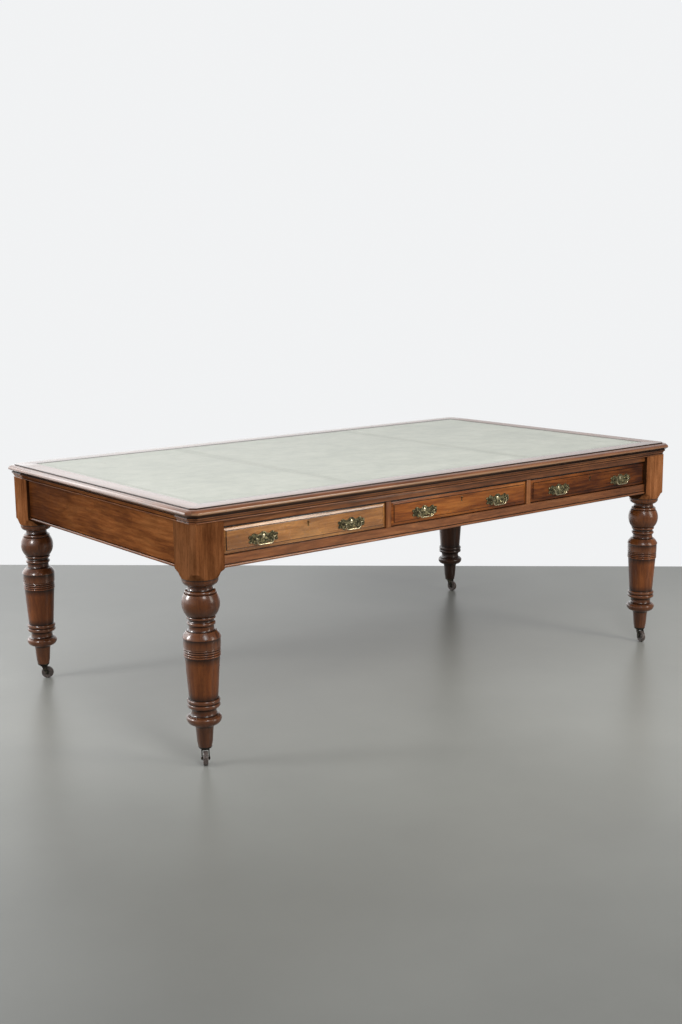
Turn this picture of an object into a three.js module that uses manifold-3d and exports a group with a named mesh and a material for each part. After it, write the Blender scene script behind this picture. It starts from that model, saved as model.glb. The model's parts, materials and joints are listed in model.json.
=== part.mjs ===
// A long Victorian writing table: three drawers in the front, turned legs on casters and an inlaid
// leather writing surface. Millimetres, +Z up, X along the length, the drawers face -Y, and the
// origin is on the floor below the middle of the top.
import * as THREE from "three";
import { mergeVertices } from "three/addons/utils/BufferGeometryUtils.js";
import Module from "manifold-3d";

const wasm = await Module();
wasm.setup();

// Driving dimensions: the whole table
const TOP_LENGTH = 2134;
const TOP_DEPTH = 1219;
const TABLE_HEIGHT = 778;
const TOP_OVERHANG = 19;
const FIT_GAP = 0.3;
const CUT_OVERRUN = 5;

// The top board: a flat, a small step, a rounded edge and an undercut, with canted corners
const TOP_THICKNESS = 26;
const CORNER_CANT = 28;
const EDGE_WIDTH = 21;
const EDGE_STEP = 2;
const EDGE_ROUND_DROP = 12;
const EDGE_NOSE = 3;
const EDGE_UNDERCUT = 11;
const BORDER_WIDTH = 60;
const LEATHER_THICKNESS = 1.7;
const LEATHER_SINK = 1;
const LEATHER_SEAM_LEFT = -425;
const LEATHER_SEAM_RIGHT = 377;

// The moulded frame that thickens the top from below
const FRAME_THICKNESS = 19.4;
const FRAME_WIDTH = 90;
const FRAME_SETBACK = 10.5;
const FRAME_FILLET = 5;
const FRAME_COVE = 7;

// The frieze: rails, aprons and drawer openings
const RAIL_SETBACK = 10;
const TOP_RAIL_HEIGHT = 20.7;
const OPENING_HEIGHT = 84;
const BOTTOM_RAIL_HEIGHT = 36;
const RAIL_DEPTH = 55;
const APRON_THICKNESS = 24;
const DIVIDER_WIDTH = 20;
const BEAD_HEIGHT = 8;
const BEAD_PROUD = 3;

// The drawer runners: a bearer under the drawer side with a guide beside it
const RUNNER_THICKNESS = 18;
const BEARER_WIDTH = 20;
const GUIDE_HEIGHT = 22;
const END_GUIDE_WIDTH = 26;

// The drawers
const DRAWER_COUNT = 3;
const DRAWER_CLEARANCE = 1;
const DRAWER_FRONT_THICKNESS = 24;
const BEVEL_WIDTH = 13;
const BEVEL_DEPTH = 5;
const FIELD_STEP = 0.8;
const DRAWER_LENGTH = 520;
const DRAWER_SIDE_THICKNESS = 11;
const DRAWER_BOTTOM_THICKNESS = 7;
const DRAWER_BOTTOM_RAISE = 9;
const DRAWER_SIDE_DROP = 6;

// The drawer locks and their keyholes
const LOCK_WIDTH = 62;
const LOCK_HEIGHT = 44;
const LOCK_THICKNESS = 11;
const KEYHOLE_DROP = 27;
const KEYHOLE_RADIUS = 3.2;
const KEYHOLE_LENGTH = 14;
const KEYHOLE_SLOT_WIDTH = 3;

// The drawer handles: a shaped back plate with two drilled posts, and a bail that swings in them
const HANDLE_SPACING = 331;
const HANDLE_DROP = 8;
const PLATE_WIDTH = 106;
const PLATE_HEIGHT = 40;
const PLATE_THICKNESS = 1.8;
const POST_SPACING = 74;
const POST_RISE = 3;
const POST_STEM_RADIUS = 2.8;
const POST_LENGTH = 11;
const POST_HEAD_RADIUS = 4.6;
const BOSS_HEIGHT = 1.6;
const BAIL_RADIUS = 2.3;
const BAIL_KNUCKLE_RADIUS = 2.8;
const BAIL_DROP = 19;
const BAIL_FOOT_WIDTH = 44;
const BAIL_BORE_CLEARANCE = 0.45;

// The leg block
const BLOCK_WIDTH = 106;
const BLOCK_CANT = 10;

// The turned leg, from the block down: a shoulder, a cup, a neck, a collar and a ball
const SHOULDER_DROP = 26;
const CUP_RADIUS = 53.5;
const CUP_FILLET = 4;
const CUP_DROP = 17;
const NECK_RADIUS = 36;
const NECK_DROP = 4;
const COLLAR_FLARE_DROP = 11;
const COLLAR_RADIUS = 43;
const COLLAR_BULGE = 3;
const COLLAR_DROP = 10;
const BALL_RADIUS = 55.8;
const BALL_TOP_RADIUS = 47.5;
const BALL_FOOT_RADIUS = 43;

// The turned leg: two rings with hollows below the ball
const RING_SEAT_DROP = 1.5;
const UPPER_RING_RADIUS = 40;
const UPPER_RING_BULGE = 2.6;
const UPPER_RING_HEIGHT = 8;
const RING_HOLLOW = 3;
const RING_HOLLOW_DROP = 9;
const LOWER_RING_RADIUS = 38.6;
const LOWER_RING_BULGE = 3.2;
const LOWER_RING_HEIGHT = 9;

// The turned leg: the rising shoulder, the drum, the reeds and the tapered shaft
const RISE_SEAT_RADIUS = 36.8;
const RISE_SEAT_DROP = 8;
const RISE_FLARE_RADIUS = 44.5;
const RISE_FLARE_DROP = 11;
const RISE_STEP_RADIUS = 46.6;
const RISE_STEP_DROP = 1.2;
const RISE_ROUND_RADIUS = 56.4;
const RISE_ROUND_DROP = 17;
const DRUM_RADIUS = 54.6;
const DRUM_HEIGHT = 30;
const REED_COUNT = 4;
const REED_PITCH = 7;
const REED_DEPTH = 1.8;
const SHAFT_TOP_RADIUS = 52.4;
const SHAFT_FOOT_RADIUS = 42.8;

// The turned leg: the ankle rings, the cove, the disc and the foot
const ANKLE_RING_RADIUS = 44.8;
const ANKLE_RING_BULGE = 3.9;
const ANKLE_RING_HEIGHT = 12.5;
const ANKLE_GROOVE = 1;
const COVE_RADIUS = 36.8;
const COVE_DROP = 11.5;
const COVE_FLOOR = 2;
const DISC_LIP_RADIUS = 46;
const DISC_RISE_DROP = 13.5;
const DISC_RADIUS = 52;
const DISC_ROUND_DROP = 7;
const DISC_UNDER_RADIUS = 31.5;
const DISC_UNDER_DROP = 20;
const FOOT_TOP_RADIUS = 28.3;
const FOOT_SEAT_DROP = 3;
const FOOT_LENGTH = 65.4;
const FOOT_WAIST_SHARE = 0.18;
const FOOT_WAIST_RADIUS = 26.2;
const FOOT_ANKLE_SHARE = 0.77;
const FOOT_ANKLE_RADIUS = 23.4;
const FOOT_RADIUS = 20.3;

// The casters
const WHEEL_RADIUS = 21;
const WHEEL_WIDTH = 16;
const WHEEL_EDGE = 2;
const WHEEL_HUB_RADIUS = 8;
const WHEEL_DISH = 1;
const CASTER_TRAIL = 13;
const CROWN_CLEARANCE = 2.5;
const CROWN_THICKNESS = 4;
const CROWN_RADIUS = 12;
const FORK_GAP = 0.8;
const FORK_ARM = 3.2;
const FORK_EYE_RADIUS = 6.5;
const AXLE_RADIUS = 3;
const AXLE_HEAD = 1.6;
const AXLE_HEAD_RADIUS = 4.6;
const SOCKET_THICKNESS = 6;
const SOCKET_RADIUS = 18.6;
const SOCKET_LIP_RADIUS = 21;
const SOCKET_LIP = 2.5;
const STEM_RADIUS = 4;
const STEM_LENGTH = 34;
const CASTER_HEADINGS = { front_left: -121, front_right: -110, back_left: -37, back_right: -83 };

// Counts of facets
const TURN_SIDES = 12;
const WHEEL_SIDES = 16;
const SMALL_SIDES = 8;
const ROD_SIDES = 6;
const CURVE_STEPS = 2;
const BALL_STEPS = 5;
const ARM_SEGMENTS = 4;
const BEAD_SEGMENTS = 4;
const EDGE_STEPS = 4;
const KEYHOLE_SEGMENTS = 5;
const BAIL_STEPS = 14;
const ROUND_ROWS = 4;

// Heights, worked out from the top down
const boardBottom = TABLE_HEIGHT - TOP_THICKNESS;
const frameTop = boardBottom - FIT_GAP;
const frameBottom = frameTop - FRAME_THICKNESS;
const friezeTop = frameBottom - FIT_GAP;
const openingTop = friezeTop - TOP_RAIL_HEIGHT;
const openingBottom = openingTop - OPENING_HEIGHT;
const friezeBottom = openingBottom - BOTTOM_RAIL_HEIGHT;

// Heights, worked out from the floor up
const crownBottom = 2 * WHEEL_RADIUS + CROWN_CLEARANCE;
const crownTop = crownBottom + CROWN_THICKNESS;
const socketBottom = crownTop + FIT_GAP;
const socketTop = socketBottom + SOCKET_THICKNESS;
const footBottom = socketTop + FIT_GAP;

// Places in plan
const blockHalf = BLOCK_WIDTH / 2;
const legX = TOP_LENGTH / 2 - TOP_OVERHANG - blockHalf;
const legY = TOP_DEPTH / 2 - TOP_OVERHANG - blockHalf;
const railFace = legY + blockHalf - RAIL_SETBACK;
const apronFace = legX + blockHalf - RAIL_SETBACK;
const railHalfLength = legX - blockHalf - FIT_GAP;
const apronHalfLength = legY - blockHalf - FIT_GAP;
const backApronInner = railFace - APRON_THICKNESS;
const openingWidth = (2 * (railHalfLength + FIT_GAP) - (DRAWER_COUNT - 1) * DIVIDER_WIDTH) / DRAWER_COUNT;
const openingPitch = openingWidth + DIVIDER_WIDTH;
const side = { left: -1, right: 1 };

// Colours
const finish = {
  mahogany: { color: 0x8c5436, roughness: 0.38, metalness: 0 },
  legWood: { color: 0x6e4229, roughness: 0.32, metalness: 0 },
  paleDrawer: { color: 0xa9794a, roughness: 0.42, metalness: 0 },
  border: { color: 0x9a6b52, roughness: 0.3, metalness: 0 },
  leather: { color: 0xb9bfb2, roughness: 0.62, metalness: 0 },
  innerWood: { color: 0xa08055, roughness: 0.7, metalness: 0 },
  brass: { color: 0x7d7246, roughness: 0.35, metalness: 0.9 },
  iron: { color: 0x2c2825, roughness: 0.45, metalness: 0.7 },
  wheel: { color: 0x6b5c56, roughness: 0.5, metalness: 0 },
};

const table = new THREE.Group();
table.name = "writing_table";

function addPiece(parent, name, geometry, finishName) {
  geometry.computeVertexNormals();
  const mesh = new THREE.Mesh(geometry, new THREE.MeshStandardMaterial(finish[finishName]));
  mesh.name = name;
  parent.add(mesh);
  return mesh;
}

// Solids: closed meshes go in, booleans happen, and a plain geometry comes out
function solid(geometry) {
  const bare = geometry.clone();
  bare.deleteAttribute("normal");
  bare.deleteAttribute("uv");
  const merged = mergeVertices(bare);
  const corners = merged.index.array;
  const kept = [];
  for (let i = 0; i < corners.length; i += 3) {
    const [a, b, c] = [corners[i], corners[i + 1], corners[i + 2]];
    if (a !== b && b !== c && c !== a) kept.push(a, b, c);
  }
  return new wasm.Manifold(new wasm.Mesh({
    numProp: 3,
    vertProperties: new Float32Array(merged.attributes.position.array),
    triVerts: new Uint32Array(kept),
  }));
}

function plain(body) {
  const mesh = body.getMesh();
  const geometry = new THREE.BufferGeometry();
  geometry.setAttribute("position", new THREE.BufferAttribute(new Float32Array(mesh.vertProperties), 3));
  geometry.setIndex(new THREE.BufferAttribute(new Uint32Array(mesh.triVerts), 1));
  return geometry;
}

function cut(geometry, ...tools) {
  return plain(tools.reduce((body, tool) => body.subtract(solid(tool)), solid(geometry)));
}

function join(geometry, ...others) {
  return plain(others.reduce((body, other) => body.add(solid(other)), solid(geometry)));
}

function common(geometry, other) {
  return plain(solid(geometry).intersect(solid(other)));
}

// A box between two corners
function box(x0, y0, z0, x1, y1, z1) {
  const geometry = new THREE.BoxGeometry(x1 - x0, y1 - y0, z1 - z0);
  geometry.translate((x0 + x1) / 2, (y0 + y1) / 2, (z0 + z1) / 2);
  return geometry;
}

// A round bar along Z, between two heights
function bar(radius, z0, z1, sides = SMALL_SIDES) {
  const geometry = new THREE.CylinderGeometry(radius, radius, z1 - z0, sides);
  geometry.rotateX(Math.PI / 2);
  geometry.translate(0, 0, (z0 + z1) / 2);
  return geometry;
}

// A turned form about Z from a profile of (radius, height) points
function turned(points, sides) {
  const geometry = new THREE.LatheGeometry(points, sides, -Math.PI / sides);
  geometry.rotateX(Math.PI / 2);
  return geometry;
}

// A flat outline in X and Z, drawn out along Y from y0 to y1
function plate(shape, y0, y1, curveSegments) {
  const geometry = new THREE.ExtrudeGeometry(shape, { depth: y1 - y0, bevelEnabled: false, curveSegments });
  geometry.rotateX(Math.PI / 2);
  geometry.translate(0, y1, 0);
  return geometry;
}

// A closed skin through rings of points, each ring counter-clockwise as seen from the last one
function loft(rings) {
  const count = rings[0].length;
  const positions = rings.flat().flatMap((point) => [point.x, point.y, point.z]);
  const index = [];
  for (let ring = 0; ring + 1 < rings.length; ring += 1) {
    for (let i = 0; i < count; i += 1) {
      const a = ring * count + i;
      const b = ring * count + (i + 1) % count;
      index.push(a, b, b + count, a, b + count, a + count);
    }
  }
  const last = (rings.length - 1) * count;
  for (let i = 1; i + 1 < count; i += 1) {
    index.push(0, i + 1, i);
    index.push(last, last + i, last + i + 1);
  }
  const geometry = new THREE.BufferGeometry();
  geometry.setAttribute("position", new THREE.Float32BufferAttribute(positions, 3));
  geometry.setIndex(index);
  return geometry;
}

// The outline of the top, drawn in from its outermost line: a rectangle with canted corners
function cantedOutline(inset, z) {
  const x = TOP_LENGTH / 2 - inset;
  const y = TOP_DEPTH / 2 - inset;
  const cant = CORNER_CANT - inset * (2 - Math.SQRT2);
  const corners = [
    [x, -y + cant], [x, y - cant], [x - cant, y], [-x + cant, y],
    [-x, y - cant], [-x, -y + cant], [-x + cant, -y], [x - cant, -y],
  ];
  return corners.map(([px, py]) => new THREE.Vector3(px, py, z));
}

// Steps along a quarter of an ellipse, as shares of its width and its height
function quarterShares(steps) {
  return Array.from({ length: steps }, (unused, i) => {
    const angle = (Math.PI / 2) * ((i + 1) / steps);
    return { rise: Math.sin(angle), fall: 1 - Math.cos(angle) };
  });
}

function makeTop() {
  const noseTop = TABLE_HEIGHT - EDGE_STEP - EDGE_ROUND_DROP;
  const rings = [
    cantedOutline(EDGE_UNDERCUT, boardBottom),
    cantedOutline(0, noseTop - EDGE_NOSE),
    cantedOutline(0, noseTop),
  ];
  for (const { rise, fall } of quarterShares(EDGE_STEPS)) {
    rings.push(cantedOutline(fall * (EDGE_WIDTH - EDGE_STEP), noseTop + rise * EDGE_ROUND_DROP));
  }
  rings.push(cantedOutline(EDGE_WIDTH - EDGE_STEP / 2, TABLE_HEIGHT - EDGE_STEP));
  rings.push(cantedOutline(EDGE_WIDTH, TABLE_HEIGHT));

  const leatherX = TOP_LENGTH / 2 - EDGE_WIDTH - BORDER_WIDTH;
  const leatherY = TOP_DEPTH / 2 - EDGE_WIDTH - BORDER_WIDTH;
  const recessFloor = TABLE_HEIGHT - LEATHER_SINK - LEATHER_THICKNESS - FIT_GAP;
  const recess = box(-leatherX, -leatherY, recessFloor, leatherX, leatherY, TABLE_HEIGHT + CUT_OVERRUN);
  addPiece(table, "top_board", cut(loft(rings), recess), "border");

  const panels = [
    ["leather_left", -leatherX, LEATHER_SEAM_LEFT],
    ["leather_centre", LEATHER_SEAM_LEFT, LEATHER_SEAM_RIGHT],
    ["leather_right", LEATHER_SEAM_RIGHT, leatherX],
  ];
  const leatherBottom = recessFloor + FIT_GAP;
  for (const [name, x0, x1] of panels) {
    const panel = box(
      x0 + FIT_GAP, -leatherY + FIT_GAP, leatherBottom,
      x1 - FIT_GAP, leatherY - FIT_GAP, leatherBottom + LEATHER_THICKNESS,
    );
    addPiece(table, name, panel, "leather");
  }
}

// The frame is one moulded ring, sawn into two long pieces with the corners and two short ones
function makeTopFrame() {
  const filletBottom = frameTop - FRAME_FILLET;
  const rings = [cantedOutline(FRAME_SETBACK + FRAME_COVE, frameBottom)];
  for (const { rise, fall } of quarterShares(EDGE_STEPS).reverse()) {
    const inset = FRAME_SETBACK + FRAME_COVE * rise;
    rings.push(cantedOutline(inset, filletBottom - (filletBottom - frameBottom - FIT_GAP) * fall));
  }
  rings.push(cantedOutline(FRAME_SETBACK, filletBottom));
  rings.push(cantedOutline(FRAME_SETBACK, frameTop));

  const outerX = TOP_LENGTH / 2;
  const outerY = TOP_DEPTH / 2;
  const innerX = outerX - FRAME_SETBACK - FRAME_WIDTH;
  const innerY = outerY - FRAME_SETBACK - FRAME_WIDTH;
  const slab = loft(rings);
  const low = frameBottom - CUT_OVERRUN;
  const high = frameTop + CUT_OVERRUN;
  const longPiece = common(slab, box(-outerX, -outerY, low, outerX, -innerY, high));
  const shortPiece = common(slab, box(-outerX, -innerY + FIT_GAP, low, -innerX, innerY - FIT_GAP, high));
  addPiece(table, "top_frame_front", longPiece, "mahogany");
  addPiece(table, "top_frame_left", shortPiece, "mahogany");
  addPiece(table, "top_frame_back", longPiece.clone(), "mahogany").rotation.z = Math.PI;
  addPiece(table, "top_frame_right", shortPiece.clone(), "mahogany").rotation.z = Math.PI;
}

// A board that stands on edge along X: its face at y = -faceY, with a bead along its lower edge
function beadedBoard(halfLength, faceY, thickness, z0, z1) {
  const shape = new THREE.Shape();
  const beadRadius = BEAD_HEIGHT / 2;
  shape.moveTo(-faceY + thickness, z0);
  shape.lineTo(-faceY + thickness, z1);
  shape.lineTo(-faceY, z1);
  shape.lineTo(-faceY, z0 + BEAD_HEIGHT);
  shape.absellipse(-faceY, z0 + beadRadius, BEAD_PROUD, beadRadius, Math.PI / 2, (3 * Math.PI) / 2, false);
  shape.closePath();
  const geometry = new THREE.ExtrudeGeometry(shape, {
    depth: 2 * halfLength, bevelEnabled: false, curveSegments: BEAD_SEGMENTS,
  });
  geometry.applyMatrix4(new THREE.Matrix4().set(
    0, 0, 1, -halfLength,
    1, 0, 0, 0,
    0, 1, 0, 0,
    0, 0, 0, 1,
  ));
  return geometry;
}

function makeFrieze() {
  const railBack = -railFace + RAIL_DEPTH;
  const topRail = box(-railHalfLength, -railFace, openingTop, railHalfLength, railBack, friezeTop);
  addPiece(table, "front_top_rail", topRail, "mahogany");
  const bottomRail = beadedBoard(railHalfLength, railFace, RAIL_DEPTH, friezeBottom, openingBottom);
  addPiece(table, "front_bottom_rail", bottomRail, "mahogany");

  const dividerX = openingPitch / 2;
  const divider = box(
    -DIVIDER_WIDTH / 2, -railFace, openingBottom + FIT_GAP,
    DIVIDER_WIDTH / 2, -railFace + RAIL_DEPTH, openingTop - FIT_GAP,
  );
  addPiece(table, "divider_left", divider, "mahogany").position.x = side.left * dividerX;
  addPiece(table, "divider_right", divider.clone(), "mahogany").position.x = side.right * dividerX;

  const backApron = beadedBoard(railHalfLength, railFace, APRON_THICKNESS, friezeBottom, friezeTop);
  addPiece(table, "back_apron", backApron, "mahogany").rotation.z = Math.PI;
  const endApron = beadedBoard(apronHalfLength, apronFace, APRON_THICKNESS, friezeBottom, friezeTop);
  addPiece(table, "left_apron", endApron, "mahogany").rotation.z = -Math.PI / 2;
  addPiece(table, "right_apron", endApron.clone(), "mahogany").rotation.z = Math.PI / 2;
}

// Runners lie from the front rail to the back apron: the outer ones guide one drawer, the others two
function makeRunners() {
  const y0 = -railFace + RAIL_DEPTH + FIT_GAP;
  const y1 = backApronInner - FIT_GAP;
  const bearerBottom = openingBottom - RUNNER_THICKNESS;
  const guideTop = openingBottom + GUIDE_HEIGHT;
  const openingEdge = railHalfLength + FIT_GAP;
  const guideOuter = openingEdge + END_GUIDE_WIDTH;
  const guideY = apronHalfLength;
  const endRunner = join(
    box(openingEdge - BEARER_WIDTH, y0, bearerBottom, railHalfLength, y1, openingBottom),
    box(railHalfLength - BEARER_WIDTH / 2, -guideY, bearerBottom, guideOuter, guideY, openingBottom),
    box(openingEdge, -guideY, bearerBottom, guideOuter, guideY, guideTop),
  );
  const guideHalf = DIVIDER_WIDTH / 2;
  const middleRunner = join(
    box(-guideHalf - BEARER_WIDTH, y0, bearerBottom, guideHalf + BEARER_WIDTH, y1, openingBottom),
    box(-guideHalf, y0, bearerBottom, guideHalf, y1, guideTop),
  );
  const mirrored = endRunner.clone();
  mirrored.applyMatrix4(new THREE.Matrix4().makeScale(-1, 1, 1));
  mirrored.index.array.reverse();
  addPiece(table, "runner_far_left", mirrored, "innerWood");
  const dividerX = openingPitch / 2;
  addPiece(table, "runner_left", middleRunner, "innerWood").position.x = side.left * dividerX;
  addPiece(table, "runner_right", middleRunner.clone(), "innerWood").position.x = side.right * dividerX;
  addPiece(table, "runner_far_right", endRunner, "innerWood");
}

// A rectangle in X and Z at a depth y, counter-clockwise as seen from the front
function frontOutline(halfWidth, z0, z1, inset, y) {
  const [x, low, high] = [halfWidth - inset, z0 + inset, z1 - inset];
  return [[-x, low], [x, low], [x, high], [-x, high]].map(([px, pz]) => new THREE.Vector3(px, y, pz));
}

function keyholeOutline(z) {
  const slotHalf = KEYHOLE_SLOT_WIDTH / 2;
  const slotAngle = Math.asin(slotHalf / KEYHOLE_RADIUS);
  const headZ = z + KEYHOLE_LENGTH / 2 - KEYHOLE_RADIUS;
  const slotBottom = z - KEYHOLE_LENGTH / 2;
  const shape = new THREE.Shape();
  shape.moveTo(-slotHalf, slotBottom);
  shape.lineTo(slotHalf, slotBottom);
  shape.absarc(0, headZ, KEYHOLE_RADIUS, -Math.PI / 2 + slotAngle, (3 * Math.PI) / 2 - slotAngle, false);
  shape.closePath();
  return shape;
}

const drawer = {
  halfWidth: openingWidth / 2 - DRAWER_CLEARANCE,
  bottom: openingBottom + DRAWER_CLEARANCE,
  top: openingTop - DRAWER_CLEARANCE,
  front: -railFace,
  frontBack: -railFace + DRAWER_FRONT_THICKNESS,
};
drawer.middle = (drawer.bottom + drawer.top) / 2;
drawer.keyhole = drawer.top - KEYHOLE_DROP;

// The front is a fielded board: its border slopes back from a raised field to the edges
function drawerFront() {
  const { halfWidth, bottom, top, front, frontBack } = drawer;
  const board = loft([
    frontOutline(halfWidth, bottom, top, 0, frontBack),
    frontOutline(halfWidth, bottom, top, 0, front + BEVEL_DEPTH),
    frontOutline(halfWidth, bottom, top, BEVEL_WIDTH, front + FIELD_STEP),
    frontOutline(halfWidth, bottom, top, BEVEL_WIDTH, front),
  ]);
  const lockRecess = box(
    -LOCK_WIDTH / 2 - FIT_GAP, frontBack - LOCK_THICKNESS - FIT_GAP, top - LOCK_HEIGHT - FIT_GAP,
    LOCK_WIDTH / 2 + FIT_GAP, frontBack + CUT_OVERRUN, top + CUT_OVERRUN,
  );
  const keyhole = plate(keyholeOutline(drawer.keyhole), front - CUT_OVERRUN, frontBack, KEYHOLE_SEGMENTS);
  return cut(board, lockRecess, keyhole);
}

// Two sides, a back and a bottom that is let in above the lower edge of the sides
function drawerTray() {
  const { halfWidth, frontBack } = drawer;
  const y0 = frontBack + FIT_GAP;
  const y1 = drawer.front + DRAWER_LENGTH;
  const z0 = openingBottom + FIT_GAP;
  const z1 = drawer.top - DRAWER_SIDE_DROP;
  const inner = halfWidth - DRAWER_SIDE_THICKNESS;
  const boardTop = z0 + DRAWER_BOTTOM_RAISE + DRAWER_BOTTOM_THICKNESS;
  return cut(
    box(-halfWidth, y0, z0, halfWidth, y1, z1),
    box(-inner, y0 - CUT_OVERRUN, boardTop, inner, y1 - DRAWER_SIDE_THICKNESS, z1 + CUT_OVERRUN),
    box(-inner, y0 - CUT_OVERRUN, z0 - CUT_OVERRUN, inner, y1 + CUT_OVERRUN, z0 + DRAWER_BOTTOM_RAISE),
  );
}

function drawerLock() {
  const { frontBack, top } = drawer;
  const lockFront = frontBack - LOCK_THICKNESS;
  const halfDeep = frontBack - LOCK_THICKNESS / 2;
  const body = box(-LOCK_WIDTH / 2, lockFront, top - LOCK_HEIGHT, LOCK_WIDTH / 2, frontBack, top);
  return cut(body, plate(keyholeOutline(drawer.keyhole), drawer.front, halfDeep, KEYHOLE_SEGMENTS));
}

// The right half of the back plate's outline, as shares of its half width and half height
const PLATE_OUTLINE_SHARES = [
  [0, 1], [0.17, 0.94], [0.29, 0.66], [0.42, 0.6], [0.55, 0.82], [0.69, 0.86], [0.79, 0.6], [0.93, 0.66],
  [1, 0.36], [0.89, 0.08], [0.98, -0.24], [0.88, -0.55], [0.71, -0.5], [0.6, -0.76], [0.42, -0.82],
  [0.29, -0.62], [0.16, -0.86], [0, -1],
];

// The bail's right half, as shares: across from the arm to the foot, and down its drop
const BAIL_CURVE_SHARES = [[-0.06, 0.25], [0, 0.55], [0.35, 0.86], [1, 1]];

// Where the rings of a post's rounded head lie, as shares of the way from its stem to its tip
const POST_HEAD_SHARES = [0, 0.4, 0.75, 1];

const handle = { postX: POST_SPACING / 2, y: drawer.front - PLATE_THICKNESS - POST_LENGTH };
handle.z = drawer.middle - HANDLE_DROP;
handle.pivotZ = handle.z + POST_RISE;
handle.armX = handle.postX - POST_HEAD_RADIUS - BAIL_KNUCKLE_RADIUS - BAIL_BORE_CLEARANCE;

function backPlate() {
  const [halfWidth, halfHeight] = [PLATE_WIDTH / 2, PLATE_HEIGHT / 2];
  const right = PLATE_OUTLINE_SHARES.map(([x, z]) => new THREE.Vector2(x * halfWidth, z * halfHeight));
  const left = right.slice(1, -1).reverse().map((point) => new THREE.Vector2(-point.x, point.y));
  const shape = new THREE.Shape([...right, ...left].reverse());
  const face = drawer.front - FIT_GAP;
  const flat = plate(shape, face - PLATE_THICKNESS, face, ROUND_ROWS);
  flat.translate(0, 0, handle.z);
  const reach = face - handle.y;
  const stemAngle = -Math.acos(POST_STEM_RADIUS / POST_HEAD_RADIUS);
  const post = [new THREE.Vector2(0, 0), new THREE.Vector2(POST_STEM_RADIUS, 0)];
  for (const share of POST_HEAD_SHARES) {
    const angle = stemAngle + share * (Math.PI / 2 - stemAngle);
    const height = reach + POST_HEAD_RADIUS * Math.sin(angle);
    post.push(new THREE.Vector2(POST_HEAD_RADIUS * Math.cos(angle), height));
  }
  post[post.length - 1].x = 0;
  const parts = [side.left, side.right].map((sign) => {
    const geometry = turned(post, ROD_SIDES);
    geometry.rotateX(Math.PI / 2);
    geometry.translate(sign * handle.postX, face - PLATE_THICKNESS / 2, handle.pivotZ);
    return geometry;
  });
  const boss = new THREE.SphereGeometry(POST_HEAD_RADIUS, SMALL_SIDES, ROUND_ROWS);
  boss.scale(1, BOSS_HEIGHT / POST_HEAD_RADIUS, 1);
  boss.translate(0, face - PLATE_THICKNESS, handle.pivotZ);
  const boreRadius = BAIL_RADIUS + BAIL_BORE_CLEARANCE;
  const bores = [side.left, side.right].map((sign) => {
    const reachX = POST_HEAD_RADIUS + CUT_OVERRUN;
    const geometry = bar(boreRadius / Math.cos(Math.PI / ROD_SIDES), -reachX, reachX, ROD_SIDES);
    geometry.rotateY(Math.PI / 2);
    geometry.translate(sign * handle.postX, handle.y, handle.pivotZ);
    return geometry;
  });
  return cut(join(flat, ...parts, boss), ...bores);
}

// A rod that curves down between the posts, along the foot and up again, with a pin out into each post
function bail() {
  const { postX, armX, y, pivotZ } = handle;
  const footX = BAIL_FOOT_WIDTH / 2;
  const right = [[armX, 0]];
  for (const [across, down] of BAIL_CURVE_SHARES) {
    right.push([armX + (footX - armX) * across, -BAIL_DROP * down]);
  }
  const left = right.map(([x, z]) => [-x, z]).reverse();
  const points = [...right, [0, -BAIL_DROP], ...left].map(([x, z]) => new THREE.Vector3(x, y, pivotZ + z));
  const section = new THREE.Shape();
  section.absarc(0, 0, BAIL_RADIUS, 0, 2 * Math.PI, false);
  const path = new THREE.CatmullRomCurve3(points, false, "catmullrom");
  const rod = new THREE.ExtrudeGeometry(section, {
    steps: BAIL_STEPS, curveSegments: ROD_SIDES / 2, extrudePath: path,
  });
  const ends = [side.left, side.right].flatMap((sign) => {
    const pin = bar(BAIL_RADIUS, armX, postX + POST_HEAD_RADIUS / 2, ROD_SIDES);
    pin.rotateY(sign * Math.PI / 2);
    const knuckle = new THREE.SphereGeometry(BAIL_KNUCKLE_RADIUS, ROD_SIDES, ROUND_ROWS);
    knuckle.translate(sign * armX, 0, 0);
    return [pin, knuckle].map((geometry) => geometry.translate(0, y, pivotZ));
  });
  return join(rod, ...ends);
}

function makeDrawers() {
  const names = ["left", "centre", "right"];
  const [frontBoard, tray, lock] = [drawerFront(), drawerTray(), drawerLock()];
  const [backing, rod] = [backPlate(), bail()];
  for (let i = 0; i < DRAWER_COUNT; i += 1) {
    const group = new THREE.Group();
    group.position.x = (i - (DRAWER_COUNT - 1) / 2) * openingPitch;
    table.add(group);
    const tag = names[i] ?? `extra_${i}`;
    addPiece(group, `drawer_${tag}_front`, frontBoard.clone(), i === 0 ? "paleDrawer" : "mahogany");
    addPiece(group, `drawer_${tag}_tray`, tray.clone(), "innerWood");
    addPiece(group, `drawer_${tag}_lock`, lock.clone(), "brass");
    for (const [hand, sign] of [["a", side.left], ["b", side.right]]) {
      const x = sign * HANDLE_SPACING / 2;
      addPiece(group, `handle_${tag}_${hand}_plate`, backing.clone(), "brass").position.x = x;
      addPiece(group, `handle_${tag}_${hand}_bail`, rod.clone(), "brass").position.x = x;
    }
  }
}

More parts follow.
